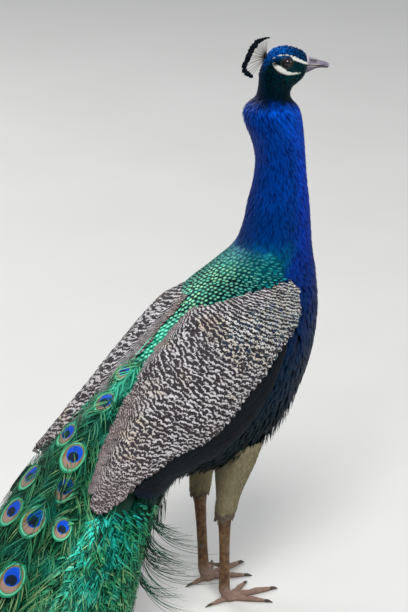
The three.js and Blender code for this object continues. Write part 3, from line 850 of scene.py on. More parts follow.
def horn(name, base, tip, dark, scale):
    """Bill, claws and spurs: fine lengthwise grain."""
    sh = Shader(name)
    place = sh.place()
    grain = sh.noise(sh.stretch(place, 0.4, 0.4, 2.4), scale, 4, 0.6)
    blotch = sh.noise(place, 70, 3)
    colour = sh.mix(blotch, base, tip)
    colour = sh.mix(sh.above(grain, 0.5, 2.2), colour, dark)
    if name == "bill":
        # painted shade in the nostril's slit; the lower bill darker, partly its own colour and partly painted
        # shade under the upper bill
        colour = sh.mix(sh.value("dark"), colour, srgb(46, 38, 28))
        # pale tip, edges and base, and a painted highlight on the nostril's flap
        colour = sh.mix(sh.value("pale"), colour, srgb(222, 216, 212))
    rough, shine = (0.36, 0.5) if name == "bill" else (0.5, 0.2)
    return sh.finish(Base_Color=colour, Roughness=rough, Specular_IOR_Level=shine,
                     Normal=sh.bump(grain, 0.25, 0.0004))


def eyeball():
    sh = Shader("eye")
    radius = sh.value("off_axis")
    iris = sh.mix(sh.noise(sh.place(), 1600, 3), srgb(12, 7, 5), srgb(40, 23, 14))
    colour = sh.mix(sh.above(radius, 0.42, 22), (0.001, 0.001, 0.001), iris)
    colour = sh.mix(sh.above(radius, 0.64, 10), colour, srgb(8, 7, 8))
    return sh.finish(Base_Color=colour, Roughness=0.12, Specular_IOR_Level=0.2, Coat_Weight=0.5,
                     Coat_Roughness=0.02)


# ---- The skin --------------------------------------------------------------------------------------

EYE_FORWARD, EYE_SIDE, EYE_Z, EYE_RADIUS = 18.8, 12.4, 826.0, 8.3


def around_eye(points):
    """How far a point of the head is from the eye's middle seen from the side; 1 at the lids' edge."""
    forward, left, up = to_head(points)
    far = np.hypot((forward - EYE_FORWARD) / 7.1, (up - EYE_Z) / 6.2)
    return np.where((np.abs(left) > 5) & (up > 790), far, 9.0)


def soft_step(low, high, value):
    t = np.clip((value - low) / (high - low), 0, 1)
    return t * t * (3 - 2 * t)


def face_shape(points):
    """Moves the head's skin: in around the eye to hold the ball, out along the lids and the brow."""
    forward, left, up = to_head(points)
    far = around_eye(points)
    side = np.sign(left)
    wide = np.abs(left)
    off = np.hypot(forward - EYE_FORWARD, up - EYE_Z)
    ball = EYE_SIDE + np.sqrt(np.maximum(EYE_RADIUS**2 - off**2, 0))
    lid = np.exp(-(((far - 1.13) / 0.13) ** 2)) * 0.75 + np.exp(-(((far - 1.42) / 0.1) ** 2)) * 0.2
    groove = -0.5 * np.exp(-(((far - 1.29) / 0.07) ** 2))
    near = 1 - soft_step(1.5, 2.1, far)
    level = np.where(far < 2.2, np.maximum(wide, ball * (1 - soft_step(1.0, 1.35, far)) + 0.15), wide)
    wide = wide + (level - wide) * near + lid + groove
    wide = wide + (ball - 1.6 - wide) * (1 - soft_step(0.86, 1.0, far))
    brow = 0.9 * np.exp(-((np.minimum(to_line(forward, up, BARE_ABOVE), 9) - 2.5) / 1.6) ** 2)
    wide = wide + np.where(up > EYE_Z, brow * soft_step(1.4, 1.8, far), 0)
    return from_head(forward, side * wide, up)


def skin_depth(number):
    """How far the skin lies below the body's surface, in millimetres."""
    return np.interp(number, [0, 2, 8, 10, 14, 18, 24, 36], [0.8, 1.1, 2.0, 3, 3.2, 4.5, 4.5, 3.5])


def body_skin():
    head, neck, rest = np.linspace(0, 9, 170), np.linspace(9, 18, 90), np.linspace(18, 35.7, 150)
    numbers = np.concatenate([head, neck[1:], rest[1:]])
    columns = 176
    angles = np.linspace(-math.pi, math.pi, columns, endpoint=False)
    n, a = np.meshgrid(numbers, angles, indexing="ij")
    outer = body(n, a)
    bare = bare_skin(outer)
    depth = skin_depth(n)
    lids = np.exp(-np.maximum(around_eye(outer) - 1.2, 0) ** 2 * 9)
    depth = depth + (0.1 - depth) * np.maximum(bare, lids)
    points = body(n, a, -depth)
    head = n < 8.5
    points[head] = face_shape(points[head])
    lid = np.where(head, 1 - soft_step(1.2, 1.34, around_eye(points)), 0)
    points[..., 2] = np.maximum(points[..., 2], 0.001)
    points = points.reshape(-1, 3)
    faces = grid_faces(len(numbers), columns, closed=True)
    # both ends close on a middle point
    ends = np.stack([points[:columns].mean(0), points[-columns:].mean(0)])
    total = len(points)
    made = new_object("skin_body", np.concatenate([points, ends]), faces)
    mesh = made.data
    close_ends(made, columns)
    none = np.zeros(total)
    for name, value in {"bare": bare.ravel(), "lid": lid.ravel(), "leg": none, "toe": none}.items():
        put_value(mesh, name, np.concatenate([value, [0, 0]]))
    shade = np.stack([np.full(total, 0.5), n.ravel() / LAST, a.ravel() / math.pi], -1)
    put_value(mesh, "shade", np.concatenate([shade, [[0.5, 0, 0], [0.5, 1, 0]]]))
    return made


def leg_skin(side):
    """One leg's solids grown together and smoothed."""
    names = [f"{part}_{side}" for part in ("thigh", "shank", "foot")]
    names += [f"toe_{side}_{toe}" for toe in ("inner", "middle", "outer", "hind")]
    leg = joined([linked("leg_part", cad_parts[name].data.copy()) for name in names])
    made = modified(leg, f"skin_{side}", ("REMESH", {"mode": "VOXEL", "voxel_size": 0.0014}),
                    ("SMOOTH", {"factor": 0.6, "iterations": 7}))
    mesh = made.data
    count = len(mesh.vertices)
    points, normals = np.empty((2, count * 3), np.float32)
    mesh.vertices.foreach_get("co", points)
    mesh.vertex_normals.foreach_get("vector", normals)
    points, normals = points.reshape(-1, 3), normals.reshape(-1, 3)
    # the feathered thigh lies inside its coat
    points -= normals * (soft_step(0.158, 0.175, points[:, 2]) * 0.003)[:, None]
    points[:, 2] = np.maximum(points[:, 2], 0.0003)
    mesh.vertices.foreach_set("co", points.ravel())
    put_value(mesh, "bare", np.zeros(count))
    put_value(mesh, "lid", np.zeros(count))
    put_value(mesh, "leg", 1 - soft_step(0.165, 0.185, points[:, 2]))
    put_value(mesh, "toe", 1 - soft_step(0.012, 0.04, points[:, 2]))
    put_value(mesh, "shade", np.tile([0.5, 22 / LAST, 0.9], (count, 1)))
    mesh.update()
    return made


FLESH = ("head", "neck", "trunk", "train", "thigh", "shank", "foot", "toe")
skin = joined([body_skin(), leg_skin("left"), leg_skin("right")])
skin.name = "skin"
dress(skin, plumage_skin(), "leg_skin", *(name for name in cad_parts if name.startswith(FLESH)))

# ---- Coats of the head, neck and body --------------------------------------------------------------

def place_shades(number, angle):
    """Each feather's random number and its root's place, as Coat.add takes them."""
    return np.stack([rng.random(len(number)), number / LAST, angle / math.pi], -1)


def sway(count, width):
    """Random numbers about 0, over a width."""
    return (rng.random(count) - 0.5) * width


def cover(coat, number, angle, length, width, outline, height, rows=5, columns=3, own=False, **options):
    """Lays feathers, as lay does, and adds them to a coat."""
    points, u, v = lay(number, angle, length, width, outline, height, rows, columns, **options)
    coat.add(points, u, v, place_shades(number, angle), rows, columns, own=own)


# close small feathers on the head, raised on the crown
head_coat = Coat("coat_head")
numbers, angles = roots(0.15, 8.6, 0.0021, 0.0019, jitter=0.5)
at = body(numbers, angles)
forward, left, up = to_head(at)
on_bill = (forward > 46) & (up < 833)
clear = (bare_skin(at) < 0.15) & (around_eye(at) > 1.5) & ~on_bill
numbers, angles = numbers[clear], angles[clear]
count = len(numbers)
crown = soft_step(1.25, 0.85, np.abs(angles)) * soft_step(7.5, 6.0, numbers)
length = (0.0028 + 0.0022 * soft_step(1, 7, numbers)) * (0.8 + 0.4 * rng.random(count))
tip = (0.15 + 1.3 * crown * rng.random(count))[:, None]
cover(head_coat, numbers, angles, length, 0.0026 - 0.0005 * crown, round_tip,
      lambda v, n, a: -1.0 + (1.0 + tip) * v**1.1, rows=4, heading=sway(count, 1) * (0.3 + 1.2 * crown),
      camber=0.35)
# curled ones that stand out on the crown
numbers, angles = roots(0.7, 6.9, 0.0029, 0.0027, low=-1.3, high=1.3, jitter=0.7)
at = body(numbers, angles)
clear = (bare_skin(at) < 0.05) & (around_eye(at) > 2.0) & (to_line(*to_head(at)[::2], BARE_ABOVE) > 1.2)
numbers, angles = numbers[clear], angles[clear]
count = len(numbers)
tip = (0.6 + 1.5 * rng.random(count))[:, None]
length, width = 0.0036 + 0.0014 * rng.random(count), 0.0026 + 0.0008 * rng.random(count)
cover(head_coat, numbers, angles, length, width, round_tip,
      lambda v, n, a: -0.9 + (0.9 + tip) * np.sin(v * 1.9), rows=6, columns=4, heading=sway(count, 1.6),
      camber=0.7)
head_material = silk_feather("head_feather", srgb(30, 120, 190), 0.2, 0.75, 60, gloss=0.25, speck=0.9)
head_coat.build(head_material, "crest_feathers")

# the neck's narrow silky feathers, ruffled where the head's dark ones end
neck_coat = Coat("coat_neck")
numbers, angles = roots(8.2, 17.8, 0.0046, 0.0036, jitter=0.6)
count = len(numbers)
ruff = soft_step(8.3, 9.2, numbers) * soft_step(10.6, 9.9, numbers)
length = (0.009 + 0.009 * soft_step(8.5, 12, numbers)) * (0.8 + 0.4 * rng.random(count)) * (1 + 0.5 * ruff)
tip = 0.3 + 0.5 * rng.random(count) + 3.2 * ruff * rng.random(count) * soft_step(2.4, 1.0, np.abs(angles))
tip = tip[:, None]
cover(neck_coat, numbers, angles, length, 0.0044 + 0.0016 * soft_step(10, 17, numbers), pointed,
      lambda v, n, a: -3.0 + (3.0 + tip) * v, heading=sway(count, 0.22), camber=0.5)
neck_coat.build(silk_feather("neck_feather", srgb(20, 90, 220)), "neck_feathers")


def wing_edges(number, side=-1):
    """A wing's upper and lower edge at a section, as angles from the middle of the back."""
    row = smooth_rows(WING[:, 0], WING, np.asarray(number, float))
    return np.radians(np.interp(number, *WING_UPPER[side])), np.radians(row[..., 2])


breast_coat = Coat("coat_breast")
for side in (-1, 1):
    numbers, angles = roots(17.2, 26.4, 0.0085, 0.0066, low=lambda n: 1.0 if n < 18 else 1.45, jitter=0.6)
    count = len(numbers)
    length = (0.02 + 0.012 * soft_step(17, 20, numbers)) * (0.8 + 0.4 * rng.random(count))
    tip = (0.5 + 1.2 * rng.random(count))[:, None]
    cover(breast_coat, numbers, side * angles, length, 0.0088, round_tip,
          lambda v, n, a: -3.5 + (3.5 + tip) * v, rows=6, heading=sway(count, 0.25), camber=0.9)
for side in (-1, 1):
    # loose feathers that hang below the belly and over the tops of the thighs
    numbers, angles = roots(20.2, 24.9, 0.0105, 0.0088, low=1.95, jitter=0.8)
    count = len(numbers)
    hang = soft_step(1.9, 2.4, angles) * soft_step(20, 21.4, numbers) * soft_step(25.4, 24.6, numbers)
    tip = ((3 + 10 * rng.random(count)) * hang + 1)[:, None]
    cover(breast_coat, numbers, side * angles, 0.026 + 0.014 * rng.random(count), 0.008, pointed,
          lambda v, n, a: -3.0 + (3.0 + tip) * v**1.2, rows=6, heading=sway(count, 0.5), camber=0.9)
breast_coat.build(silk_feather("breast_feather", srgb(10, 90, 130), 0.25, 0.55, gloss=0.2), "body_feathers")

mantle_coat = Coat("coat_mantle")


def mantle_edge(number, side):
    """The angle that the scales cover on one side: a blunt shield, then a stripe between the wings."""
    if number > 19.5:
        return float(wing_edges(number, side)[0]) + 0.05
    shield = ([0.85, 1.1, 1.35, 1.4, 1.1, 0.88, 0.76, 0.6, 0.44, 0.17] if side < 0 else
              [0.85, 1.1, 1.35, 1.4, 1.3, 1.2, 1.1, 0.95, 0.3, 0.17])
    return float(np.interp(number, [16.4, 17.1, 17.6, 17.9, 18.2, 18.5, 18.8, 19.08, 19.3, 19.5], shield))


# first and last section, pitch and spacing in metres: the middle of the shield, -1; its flanks, 1, with
# shorter and wider scales; and the stripe between the wings, 0
MANTLE_ROWS = (
    (16.7, 19.35, 0.0066, 0.007, -1),
    (16.7, 19.05, 0.0043, 0.0105, 1),
    (19.3, 23.2, 0.0068, 0.0066, 0),
)
for first, last, pitch, spacing, flank in MANTLE_ROWS:
    numbers, angles = roots(first, last, pitch, spacing, low=lambda n: -mantle_edge(n, -1),
                            high=lambda n: mantle_edge(n, 1), jitter=0.3, thin=False)
    if flank:
        border = 0.5 + 0.2 * rng.random(len(angles)) + (0.14 if flank < 0 else 0)
        keep = flank * (np.abs(angles) - border) > 0
        numbers, angles = numbers[keep], angles[keep]
    count = len(numbers)
    length = pitch * (3.2 if flank > 0 else 2.5) * (0.9 + 0.2 * rng.random(count))
    cover(mantle_coat, numbers, angles, length, spacing * 1.24, round_tip,
          lambda v, n, a: -2.5 + (3.9 + 0.5 * (n > 19.5)) * v, rows=7, columns=5, own=True,
          heading=sway(count, 0.5 if flank > 0 else 0.15), camber=0.7)
mantle_coat.build(scale_feather("mantle_scale"), "body_feathers")

# ---- Wings -----------------------------------------------------------------------------------------

def wing_across(number, angle, side):
    """0 at a wing's upper edge, 1 at its lower edge."""
    upper, lower = wing_edges(number, side)
    return (np.abs(angle) - upper) / (lower - upper)


def fineness(number, across, side):
    """How fine the bars are, from 0 to 1: finer along the upper edge and towards the wing's end."""
    upper_edge = soft_step(0.13, 0.02, across) * soft_step(18.2, 19.2, number) * soft_step(22.5, 20.8, number)
    inner = soft_step(0.34, 0.08, across) * soft_step(22.4, 23.6, number) * (1 if side < 0 else 0.35)
    return np.maximum(np.maximum(0.75 * soft_step(24.6, 26, number), upper_edge), inner)


BAR_SLANT = -0.14  # how much further back a bar is lower on the wing
WING_RADIUS, BAR_PITCH = 95, 7.5  # millimetres
PHASE_FIRST, PHASE_SPAN, PHASE_ROWS = 17, 11, 440
PHASE_REACH, PHASE_COLUMNS = 2.4, 60
PHASE_NUMBERS = np.linspace(PHASE_FIRST, PHASE_FIRST + PHASE_SPAN, PHASE_ROWS + 1)
PHASE_ANGLES = np.linspace(0, PHASE_REACH, PHASE_COLUMNS + 1)


def phase_table(side):
    """How many bars lie between section 17 and a place, along a wing."""
    n, a = np.meshgrid(PHASE_NUMBERS, PHASE_ANGLES, indexing="ij")
    along, _ = metric(n, a)
    fine = fineness(n, wing_across(n, a, side), side)
    shoulder = soft_step(20.6, 18.4, n)
    period = (8.2 if side < 0 else 10.0) - 3.6 * shoulder
    period = period + (4.2 - period) * fine
    step = along / MM / period
    step = (step[1:] + step[:-1]) / 2 * (PHASE_NUMBERS[1] - PHASE_NUMBERS[0])
    count = np.concatenate([np.zeros((1, len(PHASE_ANGLES))), np.cumsum(step, 0)])
    return count + BAR_SLANT * a * WING_RADIUS / BAR_PITCH


PHASES = {side: phase_table(side) for side in (-1, 1)}


def phase_at(number, angle, side):
    """The table's value at any place on a wing."""
    x = np.clip((number - PHASE_FIRST) / PHASE_SPAN * PHASE_ROWS, 0, PHASE_ROWS - 0.001)
    y = np.clip(np.abs(angle) / PHASE_REACH * PHASE_COLUMNS, 0, PHASE_COLUMNS - 0.001)
    i, j = x.astype(int), y.astype(int)
    fx, fy = x - i, y - j
    phases = PHASES[side]
    return (
        phases[i, j] * (1 - fx) * (1 - fy) + phases[i + 1, j] * fx * (1 - fy)
        + phases[i, j + 1] * (1 - fx) * fy + phases[i + 1, j + 1] * fx * fy
    )


def outside(table, number, angle):
    """How far the wing's outside stands off the body, in millimetres; it is thicker at its lower edge."""
    _, upper, lower, lift, thick = np.moveaxis(smooth_rows(table[:, 0], table, number), -1, 0)
    across = np.clip((np.degrees(np.abs(angle)) - upper) / (lower - upper), -0.15, 1.15)
    full = np.sqrt(np.clip(1 - np.abs(2 * across - 1) ** 4, 0, 1))
    edge = 0.1 + 0.5 * soft_step(0.4, 1.0, across)
    return lift + thick * (edge + (1 - edge) * full)


def edge_heading(number, across, side):
    """Which way feathers point so that they run with the wing's own edges."""
    e = 0.1
    up0, low0 = wing_edges(number - e, side)
    up1, low1 = wing_edges(number + e, side)
    middle = up0 + across * (low0 - up0)
    slope = (up1 + across * (low1 - up1) - middle) / (2 * e)
    along, around = metric(number, middle)
    return np.clip(np.arctan2(slope * around, along), -0.12 - 0.5 * soft_step(24, 25, number), 0.45)


# first and last section, pitch and spacing in metres, and the part of the wing that the rows cover
BARRED_ROWS = (
    (17.9, 19.0, 0.0058, 0.0058, "all"),
    (18.8, 20.6, 0.0078, 0.0078, "all"),
    (20.4, 24.2, 0.0118, 0.0105, "all"),
    (24.0, 26.2, 0.0095, 0.0078, "all"),
    (19.0, 25.3, 0.0064, 0.006, "upper"),
    (19.4, 26.2, 0.0068, 0.0058, "lower"),
)
# the same four, the feathers' length in metres, and how far they lie below the first ones in millimetres
FLIGHT_ROWS = (
    (19.7, 23.3, 0.021, 0.0085, 0.085, 0.0),
    (22.0, 24.4, 0.024, 0.009, 0.09, 1.2),
    (24.0, 25.5, 0.014, 0.008, 0.05, 2.0),
)


def barred_angles(number, side, part):
    """Where a row of barred feathers begins and ends."""
    upper, lower = (float(edge) for edge in wing_edges(number, side))
    if part == "upper":
        return upper + 0.045, upper + 0.14
    if part == "lower":
        return lower - 0.15, lower - 0.045
    return upper + (0.03 if number < 18.9 else 0.07), lower - (0.045 if number < 19.6 else 0.12)


def add_barred(wing, side, first, last, pitch, spacing, part):
    numbers, angles = roots(first, last, pitch, spacing, low=lambda n: barred_angles(n, side, part)[0],
                            high=lambda n: barred_angles(n, side, part)[1], jitter=0.5, thin=False)
    if side > 0:
        numbers, angles = numbers[numbers < 25.6], angles[numbers < 25.6]
    count = len(numbers)
    across = wing_across(numbers, angles, side)
    length = pitch * (2.3 + 0.4 * rng.random(count)) * (1 - 0.25 * soft_step(0.75, 1.0, across))
    width = spacing * 1.75 * (0.9 + 0.2 * rng.random(count))
    lift = (0.4 + 1.0 * rng.random(count))[:, None]
    heading = edge_heading(numbers, across, side) + sway(count, 0.2)
    heading = heading + 0.22 * soft_step(0.0, 0.3, across) * soft_step(1.0, 0.7, across)
    laid = []

    def height(v, n, a):
        laid.append((n, a))
        off = outside(WING, n, a)
        if side > 0:  # the left wing hugs the body at its front and its inner edge
            off = 3.0 + (off - 3.0) * soft_step(18.9, 19.8, n) * soft_step(0.02, 0.3, wing_across(n, a, side))
        return off - 3.2 + (3.2 + lift) * v

    points, u, v = lay(numbers, angles, length, width, round_tip, height, rows=8, columns=5, heading=heading,
                       camber=0.9)
    points[..., 1] *= side
    n, a = laid[0]
    across = wing_across(n, a, side)
    fine = fineness(n, across, side)
    # how much teal sheen is painted on the bars: towards the wing's front and its lower part
    gloss = soft_step(21.6, 19.2, n) * soft_step(0.25, 0.6, across)
    small = soft_step(20.6, 19.2, numbers)[:, None]
    shift = sway(count, 1)[:, None] * (0.9 - 0.5 * small)
    phase = phase_at(n, a, side) + shift - (0.55 - 0.3 * small) * u * u
    extra = np.stack([phase, fine, gloss], -1)
    wing.add(points, u, v, place_shades(numbers, angles), 8, 5, extra, own=True)


def flight_edge(number, column, less=0):
    return math.radians(float(np.interp(number, FLIGHT[:, 0], FLIGHT[:, column])) - less)


def add_flight(wing, side, first, last, pitch, spacing, reach, drop):
    numbers, angles = roots(first, last, pitch, spacing, low=lambda n: flight_edge(n, 1),
                            high=lambda n: flight_edge(n, 2, 4), jitter=0.3)
    count = len(numbers)
    lift = (rng.random(count) * 0.8 - drop)[:, None]
    heading = 0.02 - 0.62 * soft_step(22.6, 24.2, numbers) - 0.4 * soft_step(24.3, 25.2, numbers)
    points, u, v = lay(numbers, angles, reach * (0.8 + 0.3 * rng.random(count)), 0.017, long_vane,
                       lambda v, n, a: outside(FLIGHT, n, a) - 3 + (3 + lift) * np.minimum(v * 1.6, 1),
                       rows=14, columns=5, heading=heading, camber=0.8)
    points[..., 1] *= side
    wing.add(points, u, v, place_shades(numbers, angles), 14, 5, own=True)


barred = barred_feather("barred_feather")
dusk = flight_feather("flight_feather", srgb(3, 8, 14), srgb(2, 17, 28), srgb(2, 36, 54))
for side, name in ((-1, "right"), (1, "left")):
    wing = Coat(f"wing_{name}_barred")
    for row in BARRED_ROWS:
        add_barred(wing, side, *row)
    nodes = (f"wing_{name}_{part}" for part in ("scapulars", "coverts", "tertials"))
    wing.build(barred, "barred_feathers", *nodes)
    flight = Coat(f"wing_{name}_flight")
    for row in FLIGHT_ROWS[:2] if side > 0 else FLIGHT_ROWS:
        add_flight(flight, side, *row)
    flight.build(dusk, "flight_feathers", f"wing_{name}_secondaries")

# ---- The train -------------------------------------------------------------------------------------

# Eyes that the view shows: section number, angle, size, height off the body in millimetres.
SEEN_EYES = np.array([
    [22.71, 0.007, 0.6, 7.5], [23.88, -0.06, 0.74, 8], [25.17, 0.247, 0.8, 6], [25.58, -0.127, 0.95, 10],
    [26.37, 0.433, 0.9, 7], [26.27, -0.207, 0.9, 3], [27.08, 0.3, 0.95, 8], [27.04, -0.093, 1.0, 11],
    [26.96, -0.46, 0.7, 5], [28.07, -0.2, 1.05, 12],
])
EYE_UNIT = 0.0135  # an eye of size 1 has a blue disc of this radius
BODY_END = 36.9  # feathers that reach beyond this section go straight on


def egg(v):
    """Half outline of an eye's vane, which is widest short of its middle and narrower at the tip."""
    return np.sqrt(np.clip(1 - np.abs((v - 0.47) / 0.53) ** 2.1, 0.002, 1)) * (1 - 0.1 * v)


def on_surface(surface, number, angle, heading, x, y, height):
    """Points of feathers given in their own plane, x across and y towards the tip, as points on a surface."""
    along, around = metric(number, angle, surface)
    shape = (-1,) + (1,) * (x.ndim - 1)
    c, s = np.cos(heading).reshape(shape), np.sin(heading).reshape(shape)
    n = number.reshape(shape) + (y * c - x * s) / along.reshape(shape)
    a = angle.reshape(shape) + (y * s + x * c) / around.reshape(shape)
    over = np.maximum(n - BODY_END, 0)
    points = surface(np.minimum(n, BODY_END), a, height)
    points[..., 0] -= over * 0.09
    return points


EYE_START, EYE_LENGTH, EYE_WIDTH = -1.5, 3.85, 1.66  # an eye's vane, in the radius of its blue disc


BARB_POINTS, STRAND_POINTS = 6, 12  # pairs of points along a barb and along a hanging strand


# Barbs: where the first and last leave the shaft, in metres; how many on each side; their reach in metres;
# the first one's and the last one's lean in degrees; thickness in metres; ruffle in millimetres.
FILL_BARBS = (-0.045, 0.03), 32, 0.05, (50, 20), 0.0012, 3.0
EYE_BARBS = (-0.024, 0.0335), 34, 0.034, (48, 6), 0.0012, 1.6
SHAFT_BARBS = (-0.125, -0.02), 38, 0.052, (56, 40), 0.0013, 2.4
CURLY_BARBS = (-0.012, 0.01), 11, 0.0115, (68, 30), 0.0018, 3.4
SKIRT_BARBS = (-0.035, 0.03), 30, 0.038, (34, 10), 0.0013, 5.0


def add_barbs(coat, number, angle, heading, size, base, kind, surface=body):
    """Loose curved barbs on both sides of each feather's shaft; base is its height in millimetres."""
    start, per_side, reach, lean, thick, ruffle = kind
    feathers = len(number)
    barbs_each = 2 * per_side
    t = np.tile(np.linspace(0, 1, per_side), 2)[None] + (rng.random((feathers, barbs_each)) - 0.5) / per_side
    sign = np.repeat([-1.0, 1.0], per_side)[None]
    unit = (EYE_UNIT * size)[:, None]
    begin = (start[0] + (start[1] - start[0]) * t) * size[:, None]
    # around the eye's vane the barbs start at its rim
    on_vane = (begin / unit - EYE_START) / EYE_LENGTH
    rim = np.where((on_vane > 0) & (on_vane < 1), egg(np.clip(on_vane, 0, 1)) * EYE_WIDTH * 0.93, 0.0) * unit
    leaning = lean[0] + (lean[1] - lean[0]) * np.clip(t, 0, 1)
    turned = np.radians(leaning + (rng.random(t.shape) - 0.5) * 20)
    long = reach * size[:, None] * (0.65 + 0.55 * rng.random(t.shape))
    steps = np.linspace(0, 1, BARB_POINTS)
    bend = (0.25 + 0.6 * rng.random(t.shape))[..., None]
    turn = turned[..., None] * (1 - bend * steps)
    dx, dy = np.sin(turn), np.cos(turn)
    gap = long[..., None] * (steps[1] - steps[0])
    none = np.zeros_like(gap)
    x = np.concatenate([none, np.cumsum((dx[..., 1:] + dx[..., :-1]) / 2 * gap, -1)], -1) + rim[..., None]
    y = np.concatenate([none, np.cumsum((dy[..., 1:] + dy[..., :-1]) / 2 * gap, -1)], -1) + begin[..., None]
    own = rng.random(t.shape)
    seeds = np.clip(0.25 * rng.random(feathers)[:, None] + 0.8 * own**2.1, 0, 1)
    width = (thick * (0.8 + 0.7 * (seeds > 0.55)))[..., None] * (1 - 0.8 * steps**2) / 2
    across = np.array([-1.0, 1.0])
    px = (x[..., None] + dy[..., None] * across * width[..., None]) * sign[..., None, None]
    py = y[..., None] - dx[..., None] * across * width[..., None]
    rise = base[:, None] + (rng.random(t.shape) - 0.6 + 0.5 * (seeds > 0.55)) * ruffle
    curl = ruffle * steps * (rng.random(t.shape)[..., None] - 0.2)
    high = rise[..., None, None] + curl[..., None] + 0 * px
    shape = (feathers * barbs_each, 2 * BARB_POINTS, 3)
    points = on_surface(surface, number, angle, heading, px, py, high).reshape(shape)
    root = np.repeat(number, barbs_each) / LAST, np.repeat(angle, barbs_each) / math.pi
    unit = unit[:, :, None, None]
    extra = np.stack([px / unit, py / unit, 0 * px], -1).reshape(shape)
    coat.add(points, np.tile(across, BARB_POINTS), np.repeat(steps, 2), np.stack([seeds.ravel(), *root], -1),
             BARB_POINTS, 2, extra)


def add_eyes(coat, number, angle, heading, size, base):
    """The eyes' own vanes, cupped a little, and the shaft that leads to each."""
    rows, columns = 14, 9
    u, v, half = template(rows, columns, egg)
    ragged = 1 + 0.07 * (rng.random((len(number), len(u))) - 0.4) * (np.abs(u) > 0.9)
    unit = (EYE_UNIT * size)[:, None]
    x = half * u * EYE_WIDTH * unit * ragged
    y = (v * EYE_LENGTH + EYE_START) * unit
    high = base[:, None] + 1.6 * v + 0.7 * np.abs(u) ** 2 - 0.5
    points = on_surface(body, number, angle, heading, x, y, high)
    extra = np.stack([x / unit, y / unit, np.ones_like(x)], -1)
    coat.add(points, u, v, place_shades(number, angle), rows, columns, extra, own=True)
    steps = np.linspace(0, 1, 9)
    x = np.tile([-0.0007, 0.0007], 9)[None] * np.ones_like(size)[:, None]
    y = np.repeat(-0.13 + 0.108 * steps, 2)[None] * size[:, None]
    high = base[:, None] + np.repeat(-1 + 1.6 * steps, 2)
    points = on_surface(body, number, angle, heading, x, y, high)
    extra = np.stack([x * 0, y * 0 - 9, x * 0], -1)
    coat.add(points, np.tile([-1.0, 1.0], 9), np.repeat(steps, 2), place_shades(number, angle), 9, 2, extra)


TUFTS, TUFT_STRANDS = 13, 10  # tufts on each side, strands in each
# where strands turn down, in metres from the middle plane, and how much wider they get
STRANDS_WITHIN, STRANDS_OVER = 0.17, 0.026


def add_strands(coat, number, angle, length):
    """Tufts of long loose barbs that hang from the train's flanks and curve outward over the ground."""
    bend, turn = np.repeat(rng.random((2, len(number), 1)), TUFT_STRANDS, 1)
    number, angle, length = (np.repeat(value, TUFT_STRANDS) for value in (number, angle, length))
    count = len(number)
    bend, turn = bend + 0.35 * rng.random((count, 1)), turn + 0.3 * rng.random((count, 1))
    number, angle = number + 0.14 * (rng.random(count) - 0.5), angle + 0.1 * (rng.random(count) - 0.5)
    length = (length * (0.45 + 0.55 * rng.random(count)))[:, None]
    steps = np.linspace(0, 1, STRAND_POINTS)
    side = np.sign(angle)[:, None]
    out = length * (0.12 * steps + (0.28 + 0.36 * bend) * steps**1.8)
    down = length * (0.95 * steps - (0.25 + 0.3 * bend) * steps**2)
    aim = 0.7 + 0.5 * (turn - 0.6)
    hang = np.stack([np.cos(aim) * out, side * np.sin(aim) * out, -down], -1)
    path = body(number, angle, 1.0)[:, None] + hang
    wide = np.abs(path[..., 1])
    narrowed = STRANDS_WITHIN + STRANDS_OVER * np.tanh((wide - STRANDS_WITHIN) / STRANDS_OVER)
    path[..., 1] = np.sign(path[..., 1]) * np.where(wide > STRANDS_WITHIN, narrowed, wide)
    thin = 0.0007 * (1.15 - steps)[None, :, None] * np.array([0.55, 0.6, 0.58])
    points = np.stack([path - thin, path + thin], 2).reshape(count, 2 * STRAND_POINTS, 3)
    shade = np.stack([0.5 * rng.random(count) ** 1.5, number / LAST, angle / math.pi], -1)
    coat.add(points, np.tile([-1.0, 1.0], STRAND_POINTS), np.repeat(steps, 2), shade, STRAND_POINTS, 2)


def fan_heading(number, angle):
    """Train feathers fan outward a little as they near its end; those on the flanks hang down."""
    aside = np.abs(angle)
    hang = soft_step(0.9, 1.6, aside) * soft_step(29.8, 28.4, number) * soft_step(2.9, 2.3, aside)
    return 0.1 * np.clip(angle, -1.3, 1.3) * soft_step(24, 27, number) + 0.7 * np.sign(angle) * hang


# the eyes that the view doesn't show, in rows that keep clear of the others
numbers, angles = roots(24.6, 36.7, 0.056, 0.05, low=lambda n: -1.35 if n < 29 else -1.45,
                        high=lambda n: 1.35 if n < 29 else 1.45, jitter=0.5)
places = body(numbers, angles)
apart = places[:, None] - body(SEEN_EYES[:, 0], SEEN_EYES[:, 1])[None]
shown = (numbers < 29.6) & (angles < 0.9) & (places[:, 0] > -0.42 + SHIFT_X)
keep = (np.sqrt((apart**2).sum(-1)).min(1) > 0.05) & ~shown
numbers, angles = numbers[keep], angles[keep]
hidden = [numbers, angles, 0.82 + 0.26 * rng.random(len(numbers)), 2 + 7 * rng.random(len(numbers))]
EYES = np.concatenate([SEEN_EYES, np.stack(hidden, -1)])

# Plain loose feathers that fill the train between the eyes, and the ones that hang below the wings.
parts = [
    roots(23.6, 29.6, 0.03, 0.028, low=-1.5, high=1.5, jitter=0.7),
    roots(29.6, 36.3, 0.036, 0.034, low=-1.62, high=1.62, jitter=0.7),
    roots(24.8, 29.5, 0.024, 0.026, low=1.45, high=math.pi, jitter=0.7),
    roots(24.8, 29.5, 0.024, 0.026, low=-math.pi, high=-1.45, jitter=0.7),
]
fill_numbers, fill_angles = (np.concatenate(values) for values in zip(*parts))


def flight_end(angle):
    """The section where a wing's flight feathers end, at an angle from the middle of the back."""
    return np.interp(np.abs(angle), [0.8, 1.02, 1.4, 1.6, 2.2, 2.4], [26.4, 26.23, 25.91, 25.64, 25.26, 23])


clear = (fill_numbers > flight_end(fill_angles) + 0.5) | (np.abs(fill_angles) < 0.8)
fill_numbers, fill_angles = fill_numbers[clear], fill_angles[clear]


